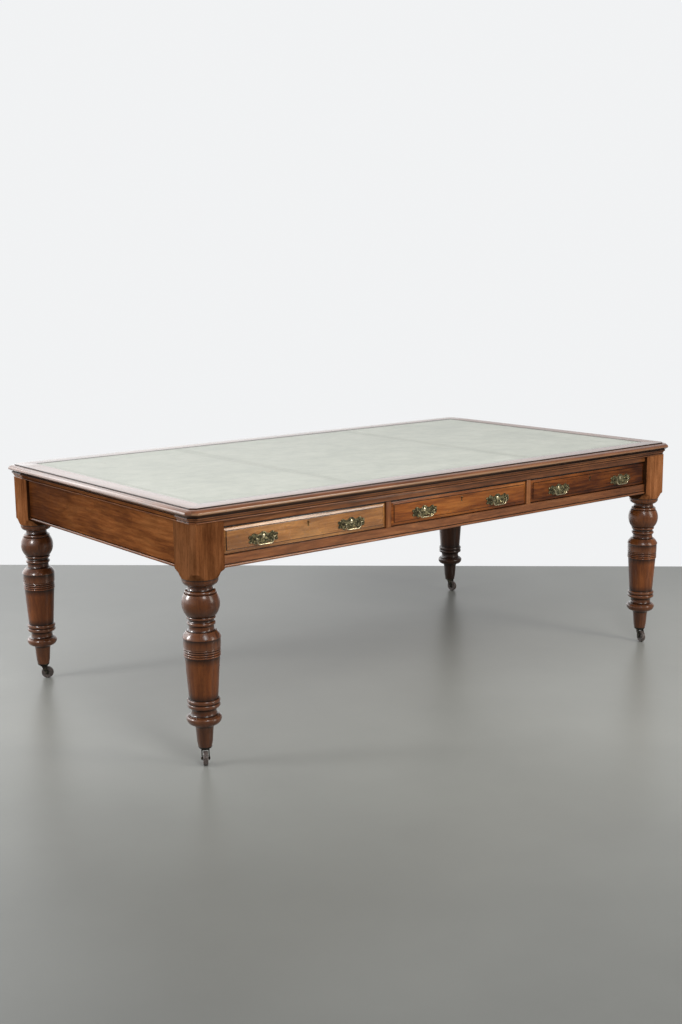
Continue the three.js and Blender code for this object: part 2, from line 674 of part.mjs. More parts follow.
// A turning drawn from the top down: each call adds one member below the last
class Turning {
  constructor(radius, z) {
    this.points = [new THREE.Vector2(0, z), new THREE.Vector2(radius, z)];
    this.radius = radius;
    this.z = z;
  }

  line(radius, drop) {
    this.radius = radius;
    this.z -= drop;
    this.points.push(new THREE.Vector2(this.radius, this.z));
    return this;
  }

  // A quarter round to a new radius that swells outward
  swell(radius, drop, steps = CURVE_STEPS) {
    const outward = radius > this.radius;
    return this.quarter(radius, drop, steps, outward);
  }

  // A quarter round to a new radius that is hollow
  hollow(radius, drop, steps = CURVE_STEPS) {
    const outward = radius > this.radius;
    return this.quarter(radius, drop, steps, !outward);
  }

  quarter(radius, drop, steps, acrossFirst) {
    const [startRadius, startZ] = [this.radius, this.z];
    for (const { rise, fall } of quarterShares(steps)) {
      const [across, down] = acrossFirst ? [rise, fall] : [fall, rise];
      const reached = startRadius + (radius - startRadius) * across;
      this.points.push(new THREE.Vector2(reached, startZ - drop * down));
    }
    this.radius = radius;
    this.z = startZ - drop;
    return this;
  }

  // A half round that stands out by a bulge, or goes in where the bulge is negative
  bead(bulge, drop, steps = CURVE_STEPS) {
    const [startRadius, startZ] = [this.radius, this.z];
    for (let i = 1; i <= steps; i += 1) {
      const angle = Math.PI * (i / steps);
      const radius = startRadius + bulge * Math.sin(angle);
      this.points.push(new THREE.Vector2(radius, startZ - drop * (1 - Math.cos(angle)) / 2));
    }
    this.z = startZ - drop;
    return this;
  }

  // Most of a ball, between the radii where it is cut off above and below
  ball(ballRadius, topRadius, footRadius, steps = BALL_STEPS) {
    const topAngle = Math.acos(topRadius / ballRadius);
    const footAngle = -Math.acos(footRadius / ballRadius);
    this.line(topRadius, 0);
    const middle = this.z - ballRadius * Math.sin(topAngle);
    for (let i = 1; i <= steps; i += 1) {
      const angle = topAngle + (footAngle - topAngle) * (i / steps);
      const height = middle + ballRadius * Math.sin(angle);
      this.points.push(new THREE.Vector2(ballRadius * Math.cos(angle), height));
    }
    this.radius = footRadius;
    this.z = middle + ballRadius * Math.sin(footAngle);
    return this;
  }
}

// The lowest members of the leg, which end on the caster, and their height
const footHeight = 2 * ANKLE_RING_HEIGHT + ANKLE_GROOVE + COVE_DROP + COVE_FLOOR + DISC_RISE_DROP
  + DISC_ROUND_DROP + DISC_UNDER_DROP + FOOT_SEAT_DROP + FOOT_LENGTH;
const cupFoot = friezeBottom - SHOULDER_DROP - CUP_FILLET;

function legTurning() {
  const cornerRadius = BLOCK_WIDTH;
  const turning = new Turning(cornerRadius, friezeTop);
  turning.line(cornerRadius, friezeTop - friezeBottom)
    .line(blockHalf * Math.SQRT2, 0)
    .hollow(CUP_RADIUS, SHOULDER_DROP)
    .line(CUP_RADIUS, CUP_FILLET)
    .swell(NECK_RADIUS, CUP_DROP)
    .line(NECK_RADIUS, NECK_DROP)
    .hollow(COLLAR_RADIUS, COLLAR_FLARE_DROP)
    .bead(COLLAR_BULGE, COLLAR_DROP)
    .ball(BALL_RADIUS, BALL_TOP_RADIUS, BALL_FOOT_RADIUS)
    .line(UPPER_RING_RADIUS, RING_SEAT_DROP)
    .bead(UPPER_RING_BULGE, UPPER_RING_HEIGHT)
    .bead(-RING_HOLLOW, RING_HOLLOW_DROP)
    .line(LOWER_RING_RADIUS, 0)
    .bead(LOWER_RING_BULGE, LOWER_RING_HEIGHT)
    .line(RISE_SEAT_RADIUS, RISE_SEAT_DROP)
    .hollow(RISE_FLARE_RADIUS, RISE_FLARE_DROP)
    .line(RISE_STEP_RADIUS, RISE_STEP_DROP)
    .swell(RISE_ROUND_RADIUS, RISE_ROUND_DROP)
    .line(DRUM_RADIUS, 0)
    .line(DRUM_RADIUS, DRUM_HEIGHT)
    .line(SHAFT_TOP_RADIUS, 0);
  for (let i = 0; i < REED_COUNT; i += 1) {
    turning.line(SHAFT_TOP_RADIUS + REED_DEPTH, REED_PITCH / 2).line(SHAFT_TOP_RADIUS, REED_PITCH / 2);
  }
  const shaftLength = turning.z - footBottom - footHeight;
  turning.line(SHAFT_FOOT_RADIUS, shaftLength)
    .line(ANKLE_RING_RADIUS, 0)
    .bead(ANKLE_RING_BULGE, ANKLE_RING_HEIGHT)
    .line(ANKLE_RING_RADIUS, ANKLE_GROOVE)
    .bead(ANKLE_RING_BULGE, ANKLE_RING_HEIGHT)
    .hollow(COVE_RADIUS, COVE_DROP)
    .line(COVE_RADIUS, COVE_FLOOR)
    .hollow(DISC_LIP_RADIUS, DISC_RISE_DROP)
    .swell(DISC_RADIUS, DISC_ROUND_DROP)
    .swell(DISC_UNDER_RADIUS, DISC_UNDER_DROP)
    .line(FOOT_TOP_RADIUS, FOOT_SEAT_DROP)
    .line(FOOT_WAIST_RADIUS, FOOT_LENGTH * FOOT_WAIST_SHARE)
    .line(FOOT_ANKLE_RADIUS, FOOT_LENGTH * (FOOT_ANKLE_SHARE - FOOT_WAIST_SHARE))
    .line(FOOT_RADIUS, FOOT_LENGTH * (1 - FOOT_ANKLE_SHARE));
  const boreRadius = STEM_RADIUS + 2 * FIT_GAP;
  const boreTop = crownTop + STEM_LENGTH + FIT_GAP;
  turning.line(boreRadius, 0).line(boreRadius, footBottom - boreTop);
  turning.points.push(new THREE.Vector2(0, boreTop));
  return turning.points.reverse();
}

// The leg is turned from a thicker blank, whose upper end is a square post with its outer corner canted
function makeLegs() {
  const shape = new THREE.Shape();
  shape.moveTo(-blockHalf + BLOCK_CANT, -blockHalf);
  shape.lineTo(blockHalf, -blockHalf);
  shape.lineTo(blockHalf, blockHalf);
  shape.lineTo(-blockHalf, blockHalf);
  shape.lineTo(-blockHalf, -blockHalf + BLOCK_CANT);
  shape.closePath();
  const post = new THREE.ExtrudeGeometry(shape, { depth: friezeTop, bevelEnabled: false });
  const blank = join(post, box(-BLOCK_WIDTH, -BLOCK_WIDTH, 0, BLOCK_WIDTH, BLOCK_WIDTH, cupFoot));
  const leg = common(blank, turned(legTurning(), TURN_SIDES));
  for (const [place, x, y, quarterTurns] of legPlaces) {
    const mesh = addPiece(table, `leg_${place}`, leg.clone(), "legWood");
    mesh.position.set(x, y, 0);
    mesh.rotation.z = quarterTurns * Math.PI / 2;
  }
}

const legPlaces = [
  ["front_left", -legX, -legY, 0],
  ["front_right", legX, -legY, 1],
  ["back_right", legX, legY, 2],
  ["back_left", -legX, legY, 3],
];

// The socket under the foot, with a bore for the stem
function casterSocket() {
  const bore = STEM_RADIUS + FIT_GAP;
  const lipBottom = socketTop - SOCKET_LIP;
  return turned([
    new THREE.Vector2(bore, socketBottom),
    new THREE.Vector2(SOCKET_RADIUS, socketBottom),
    new THREE.Vector2(SOCKET_RADIUS, lipBottom),
    new THREE.Vector2(SOCKET_LIP_RADIUS, lipBottom),
    new THREE.Vector2(SOCKET_LIP_RADIUS, socketTop),
    new THREE.Vector2(bore, socketTop),
    new THREE.Vector2(bore, socketBottom),
  ], TURN_SIDES);
}

// The fork: a stem, a crown and two arms that rake back to the axle
function casterFork() {
  const armInner = WHEEL_WIDTH / 2 + FORK_GAP;
  const armOuter = armInner + FORK_ARM;
  const shape = new THREE.Shape();
  shape.moveTo(-CROWN_RADIUS / 2, crownTop);
  shape.lineTo(-CROWN_RADIUS / 2, crownBottom);
  shape.absarc(CASTER_TRAIL, WHEEL_RADIUS, FORK_EYE_RADIUS, Math.PI, 2 * Math.PI, false);
  shape.lineTo(CASTER_TRAIL + FORK_EYE_RADIUS, WHEEL_RADIUS);
  shape.lineTo(CROWN_RADIUS, crownBottom);
  shape.lineTo(CROWN_RADIUS, crownTop);
  shape.closePath();
  const boreRadius = AXLE_RADIUS + FIT_GAP;
  const bore = bar(boreRadius, -armOuter - CUT_OVERRUN, armOuter + CUT_OVERRUN);
  bore.rotateX(Math.PI / 2);
  bore.translate(CASTER_TRAIL, 0, WHEEL_RADIUS);
  const crown = box(-CROWN_RADIUS / 2, -armOuter, crownBottom, CROWN_RADIUS, armOuter, crownTop);
  const boss = bar(CROWN_RADIUS, crownBottom, crownTop, SMALL_SIDES);
  const stem = bar(STEM_RADIUS, crownBottom, crownTop + STEM_LENGTH, SMALL_SIDES);
  const arms = [armInner, -armOuter].map((y) => plate(shape, y, y + FORK_ARM, ARM_SEGMENTS));
  return cut(join(crown, boss, stem, ...arms), bore);
}

// The wheel, about its own axle, and the pin that it turns on
function casterWheel() {
  const half = WHEEL_WIDTH / 2;
  const round = WHEEL_RADIUS / Math.cos(Math.PI / WHEEL_SIDES);
  const bore = AXLE_RADIUS + FIT_GAP;
  const profile = [
    [bore, -half], [WHEEL_HUB_RADIUS, -half], [round - WHEEL_EDGE, -half + WHEEL_DISH],
    [round, -half + WHEEL_DISH + WHEEL_EDGE], [round, half - WHEEL_DISH - WHEEL_EDGE],
    [round - WHEEL_EDGE, half - WHEEL_DISH], [WHEEL_HUB_RADIUS, half], [bore, half], [bore, -half],
  ];
  const geometry = turned(profile.map(([r, y]) => new THREE.Vector2(r, y)), WHEEL_SIDES);
  geometry.rotateX(Math.PI / 2);
  return geometry;
}

function casterAxle() {
  const reach = WHEEL_WIDTH / 2 + FORK_GAP + FORK_ARM + FIT_GAP;
  const end = reach + AXLE_HEAD;
  const profile = [
    [0, -end], [AXLE_RADIUS, -end], [AXLE_HEAD_RADIUS, -reach], [AXLE_RADIUS, -reach],
    [AXLE_RADIUS, reach], [AXLE_HEAD_RADIUS, reach], [AXLE_RADIUS, end], [0, end],
  ];
  const geometry = turned(profile.map(([r, y]) => new THREE.Vector2(r, y)), SMALL_SIDES);
  geometry.rotateX(Math.PI / 2);
  return geometry;
}

function makeCasters() {
  const [socket, fork, wheel, axle] = [casterSocket(), casterFork(), casterWheel(), casterAxle()];
  for (const [place, x, y] of legPlaces) {
    const foot = new THREE.Group();
    foot.position.set(x, y, 0);
    table.add(foot);
    addPiece(foot, `caster_${place}_socket`, socket.clone(), "brass");
    const swivel = new THREE.Group();
    swivel.rotation.z = THREE.MathUtils.degToRad(CASTER_HEADINGS[place]);
    foot.add(swivel);
    addPiece(swivel, `caster_${place}_fork`, fork.clone(), "iron");
    const roller = addPiece(swivel, `caster_${place}_wheel`, wheel.clone(), "wheel");
    roller.position.set(CASTER_TRAIL, 0, WHEEL_RADIUS);
    const pin = addPiece(swivel, `caster_${place}_axle`, axle.clone(), "iron");
    pin.position.set(CASTER_TRAIL, 0, WHEEL_RADIUS);
  }
}

makeTop();
makeTopFrame();
makeFrieze();
makeRunners();
makeDrawers();
makeLegs();
makeCasters();

export default table;
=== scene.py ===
# %% [markdown]
# # Dressing a Victorian writing table
# The engineering model of the table arrives as a fixed frame: every rail, leg and caster already
# stands where it belongs. This lesson gives that frame the look of an old library table, with
# french-polished mahogany, a waxed leather writing surface and tarnished brass. Lengths are in
# metres, +Z is up, the drawers open towards -Y and the floor is at zero.

# %% Load the frame
import json
import math

import bmesh
import bpy
import numpy as np
from mathutils import Matrix, Vector


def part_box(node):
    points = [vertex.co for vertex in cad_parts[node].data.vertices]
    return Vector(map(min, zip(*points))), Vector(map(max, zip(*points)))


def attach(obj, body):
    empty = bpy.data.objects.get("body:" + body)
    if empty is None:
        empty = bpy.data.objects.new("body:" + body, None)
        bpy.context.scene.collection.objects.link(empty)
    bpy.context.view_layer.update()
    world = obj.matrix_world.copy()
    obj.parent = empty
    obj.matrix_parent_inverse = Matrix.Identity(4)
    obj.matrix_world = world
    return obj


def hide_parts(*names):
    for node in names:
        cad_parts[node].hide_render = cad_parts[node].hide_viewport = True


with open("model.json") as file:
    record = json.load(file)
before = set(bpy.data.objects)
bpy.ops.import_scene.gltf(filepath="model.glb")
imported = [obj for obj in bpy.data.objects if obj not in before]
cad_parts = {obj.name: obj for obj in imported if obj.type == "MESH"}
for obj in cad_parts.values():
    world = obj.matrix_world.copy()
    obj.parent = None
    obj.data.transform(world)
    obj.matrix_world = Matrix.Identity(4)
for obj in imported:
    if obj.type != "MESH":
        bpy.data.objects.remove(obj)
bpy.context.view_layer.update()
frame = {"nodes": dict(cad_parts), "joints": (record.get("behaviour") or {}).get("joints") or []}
FIT_GAP = 0.0003

# %% [markdown]
# ## The camera
# The table is seen from its front left corner, from standing height, so the camera is turned to the
# right and tipped down a little. A camera looks along its own -Z, so its matrix is built from three
# directions: right, up and backwards.

# %% The camera
CAMERA_PLACE = Vector((-2.931, -3.653, 1.434))
CAMERA_TURN, CAMERA_TIP, CAMERA_ROLL = math.radians(38.25), math.radians(10.60), math.radians(-0.63)
CAMERA_LENS = 45.68

forward = Vector((math.sin(CAMERA_TURN) * math.cos(CAMERA_TIP), math.cos(CAMERA_TURN) * math.cos(CAMERA_TIP),
                  -math.sin(CAMERA_TIP)))
level_right = Vector((math.cos(CAMERA_TURN), -math.sin(CAMERA_TURN), 0))
level_up = level_right.cross(forward)
right = level_right * math.cos(CAMERA_ROLL) + level_up * math.sin(CAMERA_ROLL)
up = level_up * math.cos(CAMERA_ROLL) - level_right * math.sin(CAMERA_ROLL)

camera = bpy.data.objects.new("camera", bpy.data.cameras.new("camera"))
camera.data.lens = CAMERA_LENS
camera.matrix_world = Matrix.Translation(CAMERA_PLACE) @ Matrix((right, up, -forward)).transposed().to_4x4()
bpy.context.scene.collection.objects.link(camera)
bpy.context.scene.camera = camera
print("the camera stands", round((CAMERA_PLACE - Vector((0, 0, 0.5))).length, 2), "m from the table")

# %% [markdown]
# ## Small helpers for nodes
# The room, the finishes and some of the pieces are drawn with nodes. A tree is easiest to read in a
# script when one short call adds a node and wires its inputs, so that comes first, with the three
# steps that come back most often: arithmetic, a change of range, and a mix of two numbers.

# %% Small helpers for nodes
def feed(tree, node, values):
    """Set a node's inputs: linked where the value is a socket, typed in where it isn't."""
    for key, value in values.items():
        if isinstance(value, bpy.types.NodeSocket):
            tree.links.new(value, node.inputs[key])
        else:
            node.inputs[key].default_value = value


def add(tree, kind, values=None, **settings):
    """Add one node: settings are its own fields, values its inputs."""
    made = tree.nodes.new(kind)
    for field, value in settings.items():
        setattr(made, field, value)
    feed(tree, made, values or {})
    return made


def reckon(tree, operation, first, second=0.0, third=0.0, clamp=False):
    """One step of arithmetic on sockets or numbers."""
    made = add(tree, "ShaderNodeMath", {0: first, 1: second, 2: third}, operation=operation, use_clamp=clamp)
    return made.outputs[0]


def between(tree, value, start, end, first=0.0, last=1.0):
    """A value carried from one range to another, and held at its ends."""
    return add(tree, "ShaderNodeMapRange", {"Value": value, "From Min": start, "From Max": end, "To Min": first,
                                            "To Max": last}).outputs[0]


def blended(tree, share, first, second):
    """Two numbers mixed by a share."""
    return add(tree, "ShaderNodeMix", {"Factor": share, "A": first, "B": second}).outputs["Result"]


print("the first helpers are ready")

# %% [markdown]
# ## The studio
# A polished table is mostly a mirror for the room, so the room matters as much as the lamps. Here
# it is white walls behind the table and to its left, a bright patch high behind it, and a dimmer
# room on the camera's side. The camera sees a plain white background, the polish sees that room,
# and everything else gets an even light, by asking what kind of ray arrives. Vertical faces mirror
# the dim side, so they keep their colour, and the top mirrors the white wall at a glancing angle,
# which gives it its pale sheen.

# %% The room
LEVEL_LIGHT, SKY_LIGHT, SEEN_WHITE = 0.32, 0.52, 0.90
WALL_WAY, SKYLIGHT_WAY = (-0.3, 0.95, 0.0), (-0.18, 0.84, 0.51)
scene = bpy.context.scene
scene.view_settings.view_transform = "Standard"
world = bpy.data.worlds.new("studio")
scene.world = world
world.use_nodes = True
room = world.node_tree
room.nodes.clear()
ray = add(room, "ShaderNodeLightPath").outputs
direction = add(room, "ShaderNodeTexCoord").outputs["Generated"]
rise = add(room, "ShaderNodeSeparateXYZ", {0: direction}).outputs[2]


def facing(way):
    """How nearly a ray runs in a direction: one where it does, zero across it."""
    return add(room, "ShaderNodeVectorMath", {0: direction, 1: way}, operation="DOT_PRODUCT").outputs["Value"]


to_wall = facing(WALL_WAY)
wall = reckon(room, "ADD", between(room, to_wall, -0.25, 0.50, 0.17, 0.90),
              between(room, to_wall, 0.50, 0.80, 0.0, 0.50))
foot_of_wall = between(room, rise, 0.115, 0.165, 1.35, 1.0)
ceiling = between(room, rise, 0.50, 0.80, 1.0, 0.35)
skylight = between(room, facing(SKYLIGHT_WAY), 0.91, 0.975, 0.0, 2.2)
walls = reckon(room, "MULTIPLY", wall, reckon(room, "MULTIPLY", foot_of_wall, ceiling))
mirrored = reckon(room, "ADD", walls, skylight)
even = reckon(room, "MULTIPLY_ADD", reckon(room, "MAXIMUM", rise, 0.0), SKY_LIGHT, LEVEL_LIGHT)
polish_sees = reckon(room, "MAXIMUM", ray["Is Glossy Ray"], ray["Is Transmission Ray"])
light = blended(room, ray["Is Camera Ray"], blended(room, polish_sees, even, mirrored), SEEN_WHITE)
backdrop = add(room, "ShaderNodeBackground", {"Color": (0.98, 0.99, 1.0, 1), "Strength": light})
room.links.new(backdrop.outputs[0], add(room, "ShaderNodeOutputWorld").inputs[0])
print("the room has", len(room.nodes), "nodes")

# %% [markdown]
# Three soft windows light it: one behind it on the left, one high beside the camera and a tall
# warmer one to the right. Their places come from the highlights on the balls of the real legs,
# because a bright spot on a ball points half way to its window. On the left the balls mirror
# something small and close, so the polish sees a small pane there in place of the window.

# %% The windows
LIGHTS_ROUND = Vector((-0.6, -0.3, 0.5))


def window(name, bearing, rise, distance, size, power, colour=(1, 1, 1), in_polish=True, on_surfaces=True):
    """A soft lamp at a bearing (degrees from -Y towards +X), a rise and a distance from one point."""
    bearing, rise = math.radians(bearing), math.radians(rise)
    way = Vector((math.sin(bearing) * math.cos(rise), -math.cos(bearing) * math.cos(rise), math.sin(rise)))
    shape = bpy.data.lights.new(name, "AREA")
    shape.shape = "RECTANGLE"
    shape.size, shape.size_y = size
    shape.energy = power
    shape.color = colour
    lamp = bpy.data.objects.new(name, shape)
    lamp.location = LIGHTS_ROUND + way * distance
    lamp.rotation_euler = (-way).to_track_quat("-Z", "Y").to_euler()
    lamp.visible_camera = False
    lamp.visible_glossy = in_polish
    lamp.visible_diffuse = on_surfaces
    scene.collection.objects.link(lamp)


window("left_window", -116, 24, 4.4, (0.8, 1.3), 42, in_polish=False)
window("near_window", -12, 42, 3.6, (0.8, 1.5), 34)
window("right_window", 34.4, 18, 4.84, (1.1, 2.6), 58, (1.0, 0.95, 0.86))
window("left_pane", -109, 18, 1.37, (0.22, 0.30), 10, on_surfaces=False)

# %% [markdown]
# ## Helpers for finishes
# A finish is a small tree of shader nodes. It starts from the place of a point on the object,
# turns noise into colour through a ramp, lays other colours over it, and tips the surface a little
# by a height. Each of these steps gets a name here.

# %% Helpers for finishes
def ramp(tree, value, stops):
    """A colour ramp from (place, colour) stops."""
    made = add(tree, "ShaderNodeValToRGB", {"Fac": value})
    points = made.color_ramp.elements
    while len(points) < len(stops):
        points.new(0.5)
    for point, (place, colour) in zip(points, stops):
        point.position = place
        point.color = (*colour, 1)
    return made.outputs["Color"]


def mixed(tree, share, first, second, blend="MIX"):
    """Two colours mixed by a share. Each is a socket or a plain (red, green, blue)."""
    first, second = ((*c, 1) if isinstance(c, tuple) else c for c in (first, second))
    return add(tree, "ShaderNodeMix", {"Factor": share, "A": first, "B": second}, data_type="RGBA",
               blend_type=blend).outputs["Result"]


def tinted(tree, colour, tint):
    """A colour multiplied by another, or by a number."""
    return add(tree, "ShaderNodeVectorMath", {0: colour, 1: tint}, operation="MULTIPLY").outputs[0]


def noise(tree, place, scale, detail, **more):
    """A noise from zero to one. Its other inputs, such as Roughness, may follow by name."""
    return add(tree, "ShaderNodeTexNoise", {"Vector": place, "Scale": scale, "Detail": detail, **more}).outputs["Fac"]


def drawn_out(tree, place, scale):
    """A place scaled along each axis: the smaller the scale, the longer the pattern."""
    return add(tree, "ShaderNodeMapping", {"Vector": place, "Scale": scale}).outputs[0]


def bumped(tree, height, distance, strength, **more):
    """A surface direction tipped by a height."""
    return add(tree, "ShaderNodeBump", {"Height": height, "Distance": distance, "Strength": strength,
                                        **more}).outputs[0]


def object_place(tree):
    """The place of a point in the object's own coordinates."""
    return add(tree, "ShaderNodeTexCoord").outputs["Object"]


def axes(tree):
    """The same place as three numbers."""
    return add(tree, "ShaderNodeSeparateXYZ", {0: object_place(tree)}).outputs


def relief_here(tree):
    """Below zero in a hollow, above zero on a crest, as the turned and moulded pieces mark it."""
    return add(tree, "ShaderNodeAttribute", attribute_name="relief").outputs["Fac"]


def new_finish(name):
    """An empty finish, its tree and its shader."""
    finish = bpy.data.materials.new(name)
    finish.use_nodes = True
    return finish, finish.node_tree, finish.node_tree.nodes["Principled BSDF"]


print("the finishes' helpers are ready")

# %% [markdown]
# ## Mahogany's grain
# Mahogany has short dark pores drawn out along the grain, soft ribbons of lighter and darker colour,
# and a slow figure across them. All are noise stretched along the grain, read from the object's own
# coordinates. A board, a rail and a leg differ only in which way the grain runs. The colour also
# follows the relief that the pieces mark on their points: the hollows of a moulding are darkened,
# partly for the old polish that gathers there and partly as painted shade, and what stands proud
# is recoloured, partly for wear and partly as a painted highlight.

# %% Mahogany's grain
GRAIN_TURN = {"X": (0, 0, 0), "Y": (0, 0, math.radians(-90)), "Z": (0, math.radians(90), 0)}


def grain_place(tree, along, shift=(0, 0, 0)):
    """Object coordinates, turned so that the grain runs along the first axis, and bent a little."""
    turned = add(tree, "ShaderNodeMapping", {"Vector": object_place(tree), "Location": shift,
                                             "Rotation": GRAIN_TURN[along]}).outputs[0]
    bend = add(tree, "ShaderNodeTexNoise", {"Vector": turned, "Scale": 2.2, "Detail": 2.0}).outputs["Color"]
    return add(tree, "ShaderNodeVectorMath", {0: bend, 1: (0.03, 0.03, 0.03), 2: turned},
               operation="MULTIPLY_ADD").outputs[0]


def wood_tone(tree, place, stops):
    """The ribbons, streaks and pores of one board: a colour, and a height for the bump."""
    ribbon = noise(tree, drawn_out(tree, place, (1.0, 5.0, 5.0)), 2.4, 3.0, Distortion=0.8)
    streak = noise(tree, drawn_out(tree, place, (1.0, 16.0, 16.0)), 9.0, 7.0, Roughness=0.62)
    pore = between(tree, noise(tree, drawn_out(tree, place, (1.0, 13.0, 13.0)), 95.0, 1.0), 0.60, 0.68)
    tone = reckon(tree, "MULTIPLY_ADD", ribbon, 0.55, reckon(tree, "MULTIPLY", streak, 0.45))
    figure = noise(tree, drawn_out(tree, place, (0.7, 3.0, 3.0)), 10.0, 3.0, Distortion=1.4)
    colour = tinted(tree, ramp(tree, tone, stops), between(tree, figure, 0.36, 0.64, 0.82, 1.14))
    colour = mixed(tree, reckon(tree, "MULTIPLY", pore, 0.45), colour, (0.035, 0.014, 0.008))
    return colour, reckon(tree, "SUBTRACT", reckon(tree, "MULTIPLY", streak, 0.25), pore)


def with_relief(tree, colour, hollow_colour, proud_colour, share=0.95):
    """Mix the hollows towards a dark colour and the crests towards a proud one: old polish and painted shade, wear
    and painted highlight.
    """
    relief = relief_here(tree)
    darker = mixed(tree, reckon(tree, "MULTIPLY", relief, -share, clamp=True), colour, hollow_colour)
    return mixed(tree, reckon(tree, "MULTIPLY", relief, 0.12, clamp=True), darker, proud_colour)


print("the grain can run along", ", ".join(GRAIN_TURN))

# %% [markdown]
# ## Painted light, shade and stain on the wood
# Some boards darken along one axis as painted falloff of the light: the end aprons towards the back,
# and the rails and the right drawer front towards the right. The legs' finish is lighter towards +X.
# A painted shadow, with some dirt, makes a dark line under the rail over the drawers, and painted
# shade, with some dirt, darkens the faces of the leg blocks in the corners where they meet the rails.
# Below its block a leg was stained browner and is shinier, and its plain tapered shaft is a little
# redder than the mouldings above and below it.

# %% Painted light, shade and stain on the wood
BLOCK_INNER_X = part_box("front_top_rail")[1].x + FIT_GAP
BLOCK_INNER_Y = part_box("left_apron")[1].y + FIT_GAP
BLOCK_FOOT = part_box("front_bottom_rail")[0].z
SHAFT_MIDDLE, SHAFT_HALF = 0.277, 0.070


def drifting(tree, colour, axis, shares):
    """A slow change of tone along an axis, from (metres from the middle, share) points."""
    at = reckon(tree, "MULTIPLY_ADD", axes(tree)[axis], 0.5, 0.5)
    return tinted(tree, colour, ramp(tree, at, [(0.5 + x / 2, (share, share ** 1.12, share ** 1.25))
                                                for x, share in shares]))


def rail_gap_shadow(tree, colour, level):
    """Painted shadow, with some dirt, along a board's lower edge, where it stands over a row of drawers."""
    edge = reckon(tree, "COMPARE", axes(tree)[2], level, 0.0026)
    return mixed(tree, reckon(tree, "MULTIPLY", edge, 0.95), colour, (0.016, 0.007, 0.004))


def corner_shade_and_dirt(tree, colour, below):
    """Painted shade, with some dirt, on the faces of the leg blocks that look along the rails and aprons."""
    x, y = (reckon(tree, "ABSOLUTE", at) for at in axes(tree)[:2])
    face = reckon(tree, "MAXIMUM", reckon(tree, "COMPARE", y, BLOCK_INNER_Y, 0.0008),
                  reckon(tree, "COMPARE", x, BLOCK_INNER_X, 0.0008))
    dirty = reckon(tree, "MULTIPLY", face, reckon(tree, "SUBTRACT", 1.0, below))
    return mixed(tree, reckon(tree, "MULTIPLY", dirty, 0.8), colour, (0.012, 0.006, 0.004))


def leg_places(tree):
    """Two masks: what the lathe cut below the block, and the tapered shaft."""
    z = axes(tree)[2]
    below = between(tree, z, BLOCK_FOOT - 0.0240, BLOCK_FOOT - 0.0262)
    return below, reckon(tree, "COMPARE", z, SHAFT_MIDDLE, SHAFT_HALF)


print("the leg blocks end at", round(BLOCK_FOOT, 4), "m")

# %% [markdown]
# ## French polish
# One recipe makes every polished board. It takes three tones of the wood, the way the grain runs,
# how dull the polish is, and how much clear coat lies over it. The crests have more coat, because
# hands rub them. A mirror-like sheen on a face that is seen at a glancing angle would turn it
# milky, so the apron and the legs' blocks have almost none.

# %% French polish
CREST_COAT, LEG_CREST_COAT, SMOOTH, RUBBED = 0.8, 0.48, 0.12, 0.21
TURNED_STAIN, SHAFT_STAIN, HOLLOW_DARK = (0.53, 0.405, 0.245), (0.74, 0.550, 0.315), (0.012, 0.005, 0.003)
TURNED_COAT, SHAFT_COAT, TURNED_SHEEN = 0.62, 0.32, 0.28


def polished_wood(name, dark, middle, light, along, shift=(0, 0, 0), gloss=0.36, coat=0.06, sheen=0.2,
                  drift=None, gap_at=None, is_leg=False, hollows=0.95, wear_and_highlight=1.35):
    """Hollows is how far the hollows darken, and the crests' share how light they are beside the lightest tone,
    partly as wear and partly as a painted highlight.
    """
    finish, tree, shader = new_finish(name)
    place = grain_place(tree, along, shift)
    colour, height = wood_tone(tree, place, [(0.38, dark), (0.50, middle), (0.62, light)])
    if drift is not None:
        colour = drifting(tree, colour, *drift)
    crest, crest_coat = reckon(tree, "MAXIMUM", relief_here(tree), 0.0), CREST_COAT
    if is_leg:
        below, shaft = leg_places(tree)
        stain = mixed(tree, shaft, TURNED_STAIN, SHAFT_STAIN)
        colour = corner_shade_and_dirt(tree, mixed(tree, below, colour, stain, "MULTIPLY"), below)
        coat = reckon(tree, "MULTIPLY_ADD", below, blended(tree, shaft, TURNED_COAT, SHAFT_COAT), coat)
        sheen = reckon(tree, "MULTIPLY_ADD", below, TURNED_SHEEN, sheen)
        crest_coat = LEG_CREST_COAT
    if gap_at is not None:
        colour = rail_gap_shadow(tree, colour, gap_at)
    # The crests' colour is part wear and part painted highlight.
    crest_wear_and_highlight = tuple(min(1.0, c * wear_and_highlight) for c in light)
    feed(tree, shader, {
        "Base Color": with_relief(tree, colour, HOLLOW_DARK, crest_wear_and_highlight, hollows),
        "Roughness": between(tree, noise(tree, place, 14.0, 4.0), 0.3, 0.7, gloss - 0.06, gloss + 0.10),
        "Specular IOR Level": sheen, "Coat Weight": reckon(tree, "MULTIPLY_ADD", crest, crest_coat, coat),
        "Coat Roughness": RUBBED if is_leg else SMOOTH, "Normal": bumped(tree, height, 0.00025, 0.35)})
    return finish


print("the legs' coat has a roughness of", RUBBED, "and every other board's", SMOOTH)

# %% [markdown]
# The three drawer fronts were cut from different boards. The left one has faded pale, the middle one
# is redder and the right one is dark with a strong flame. The back left leg gets a lighter copy of
# the leg finish as painted light, and the back right leg, which stands in the table's own shade,
# gets a nearly black copy as painted shade.

# %% The boards and their tones
def shaded(tones, share):
    """The same tones, lighter or darker."""
    return [tuple(c * share for c in tone) for tone in tones]


RAIL_TONES = ((0.165, 0.054, 0.018), (0.30, 0.104, 0.034), (0.44, 0.172, 0.062))
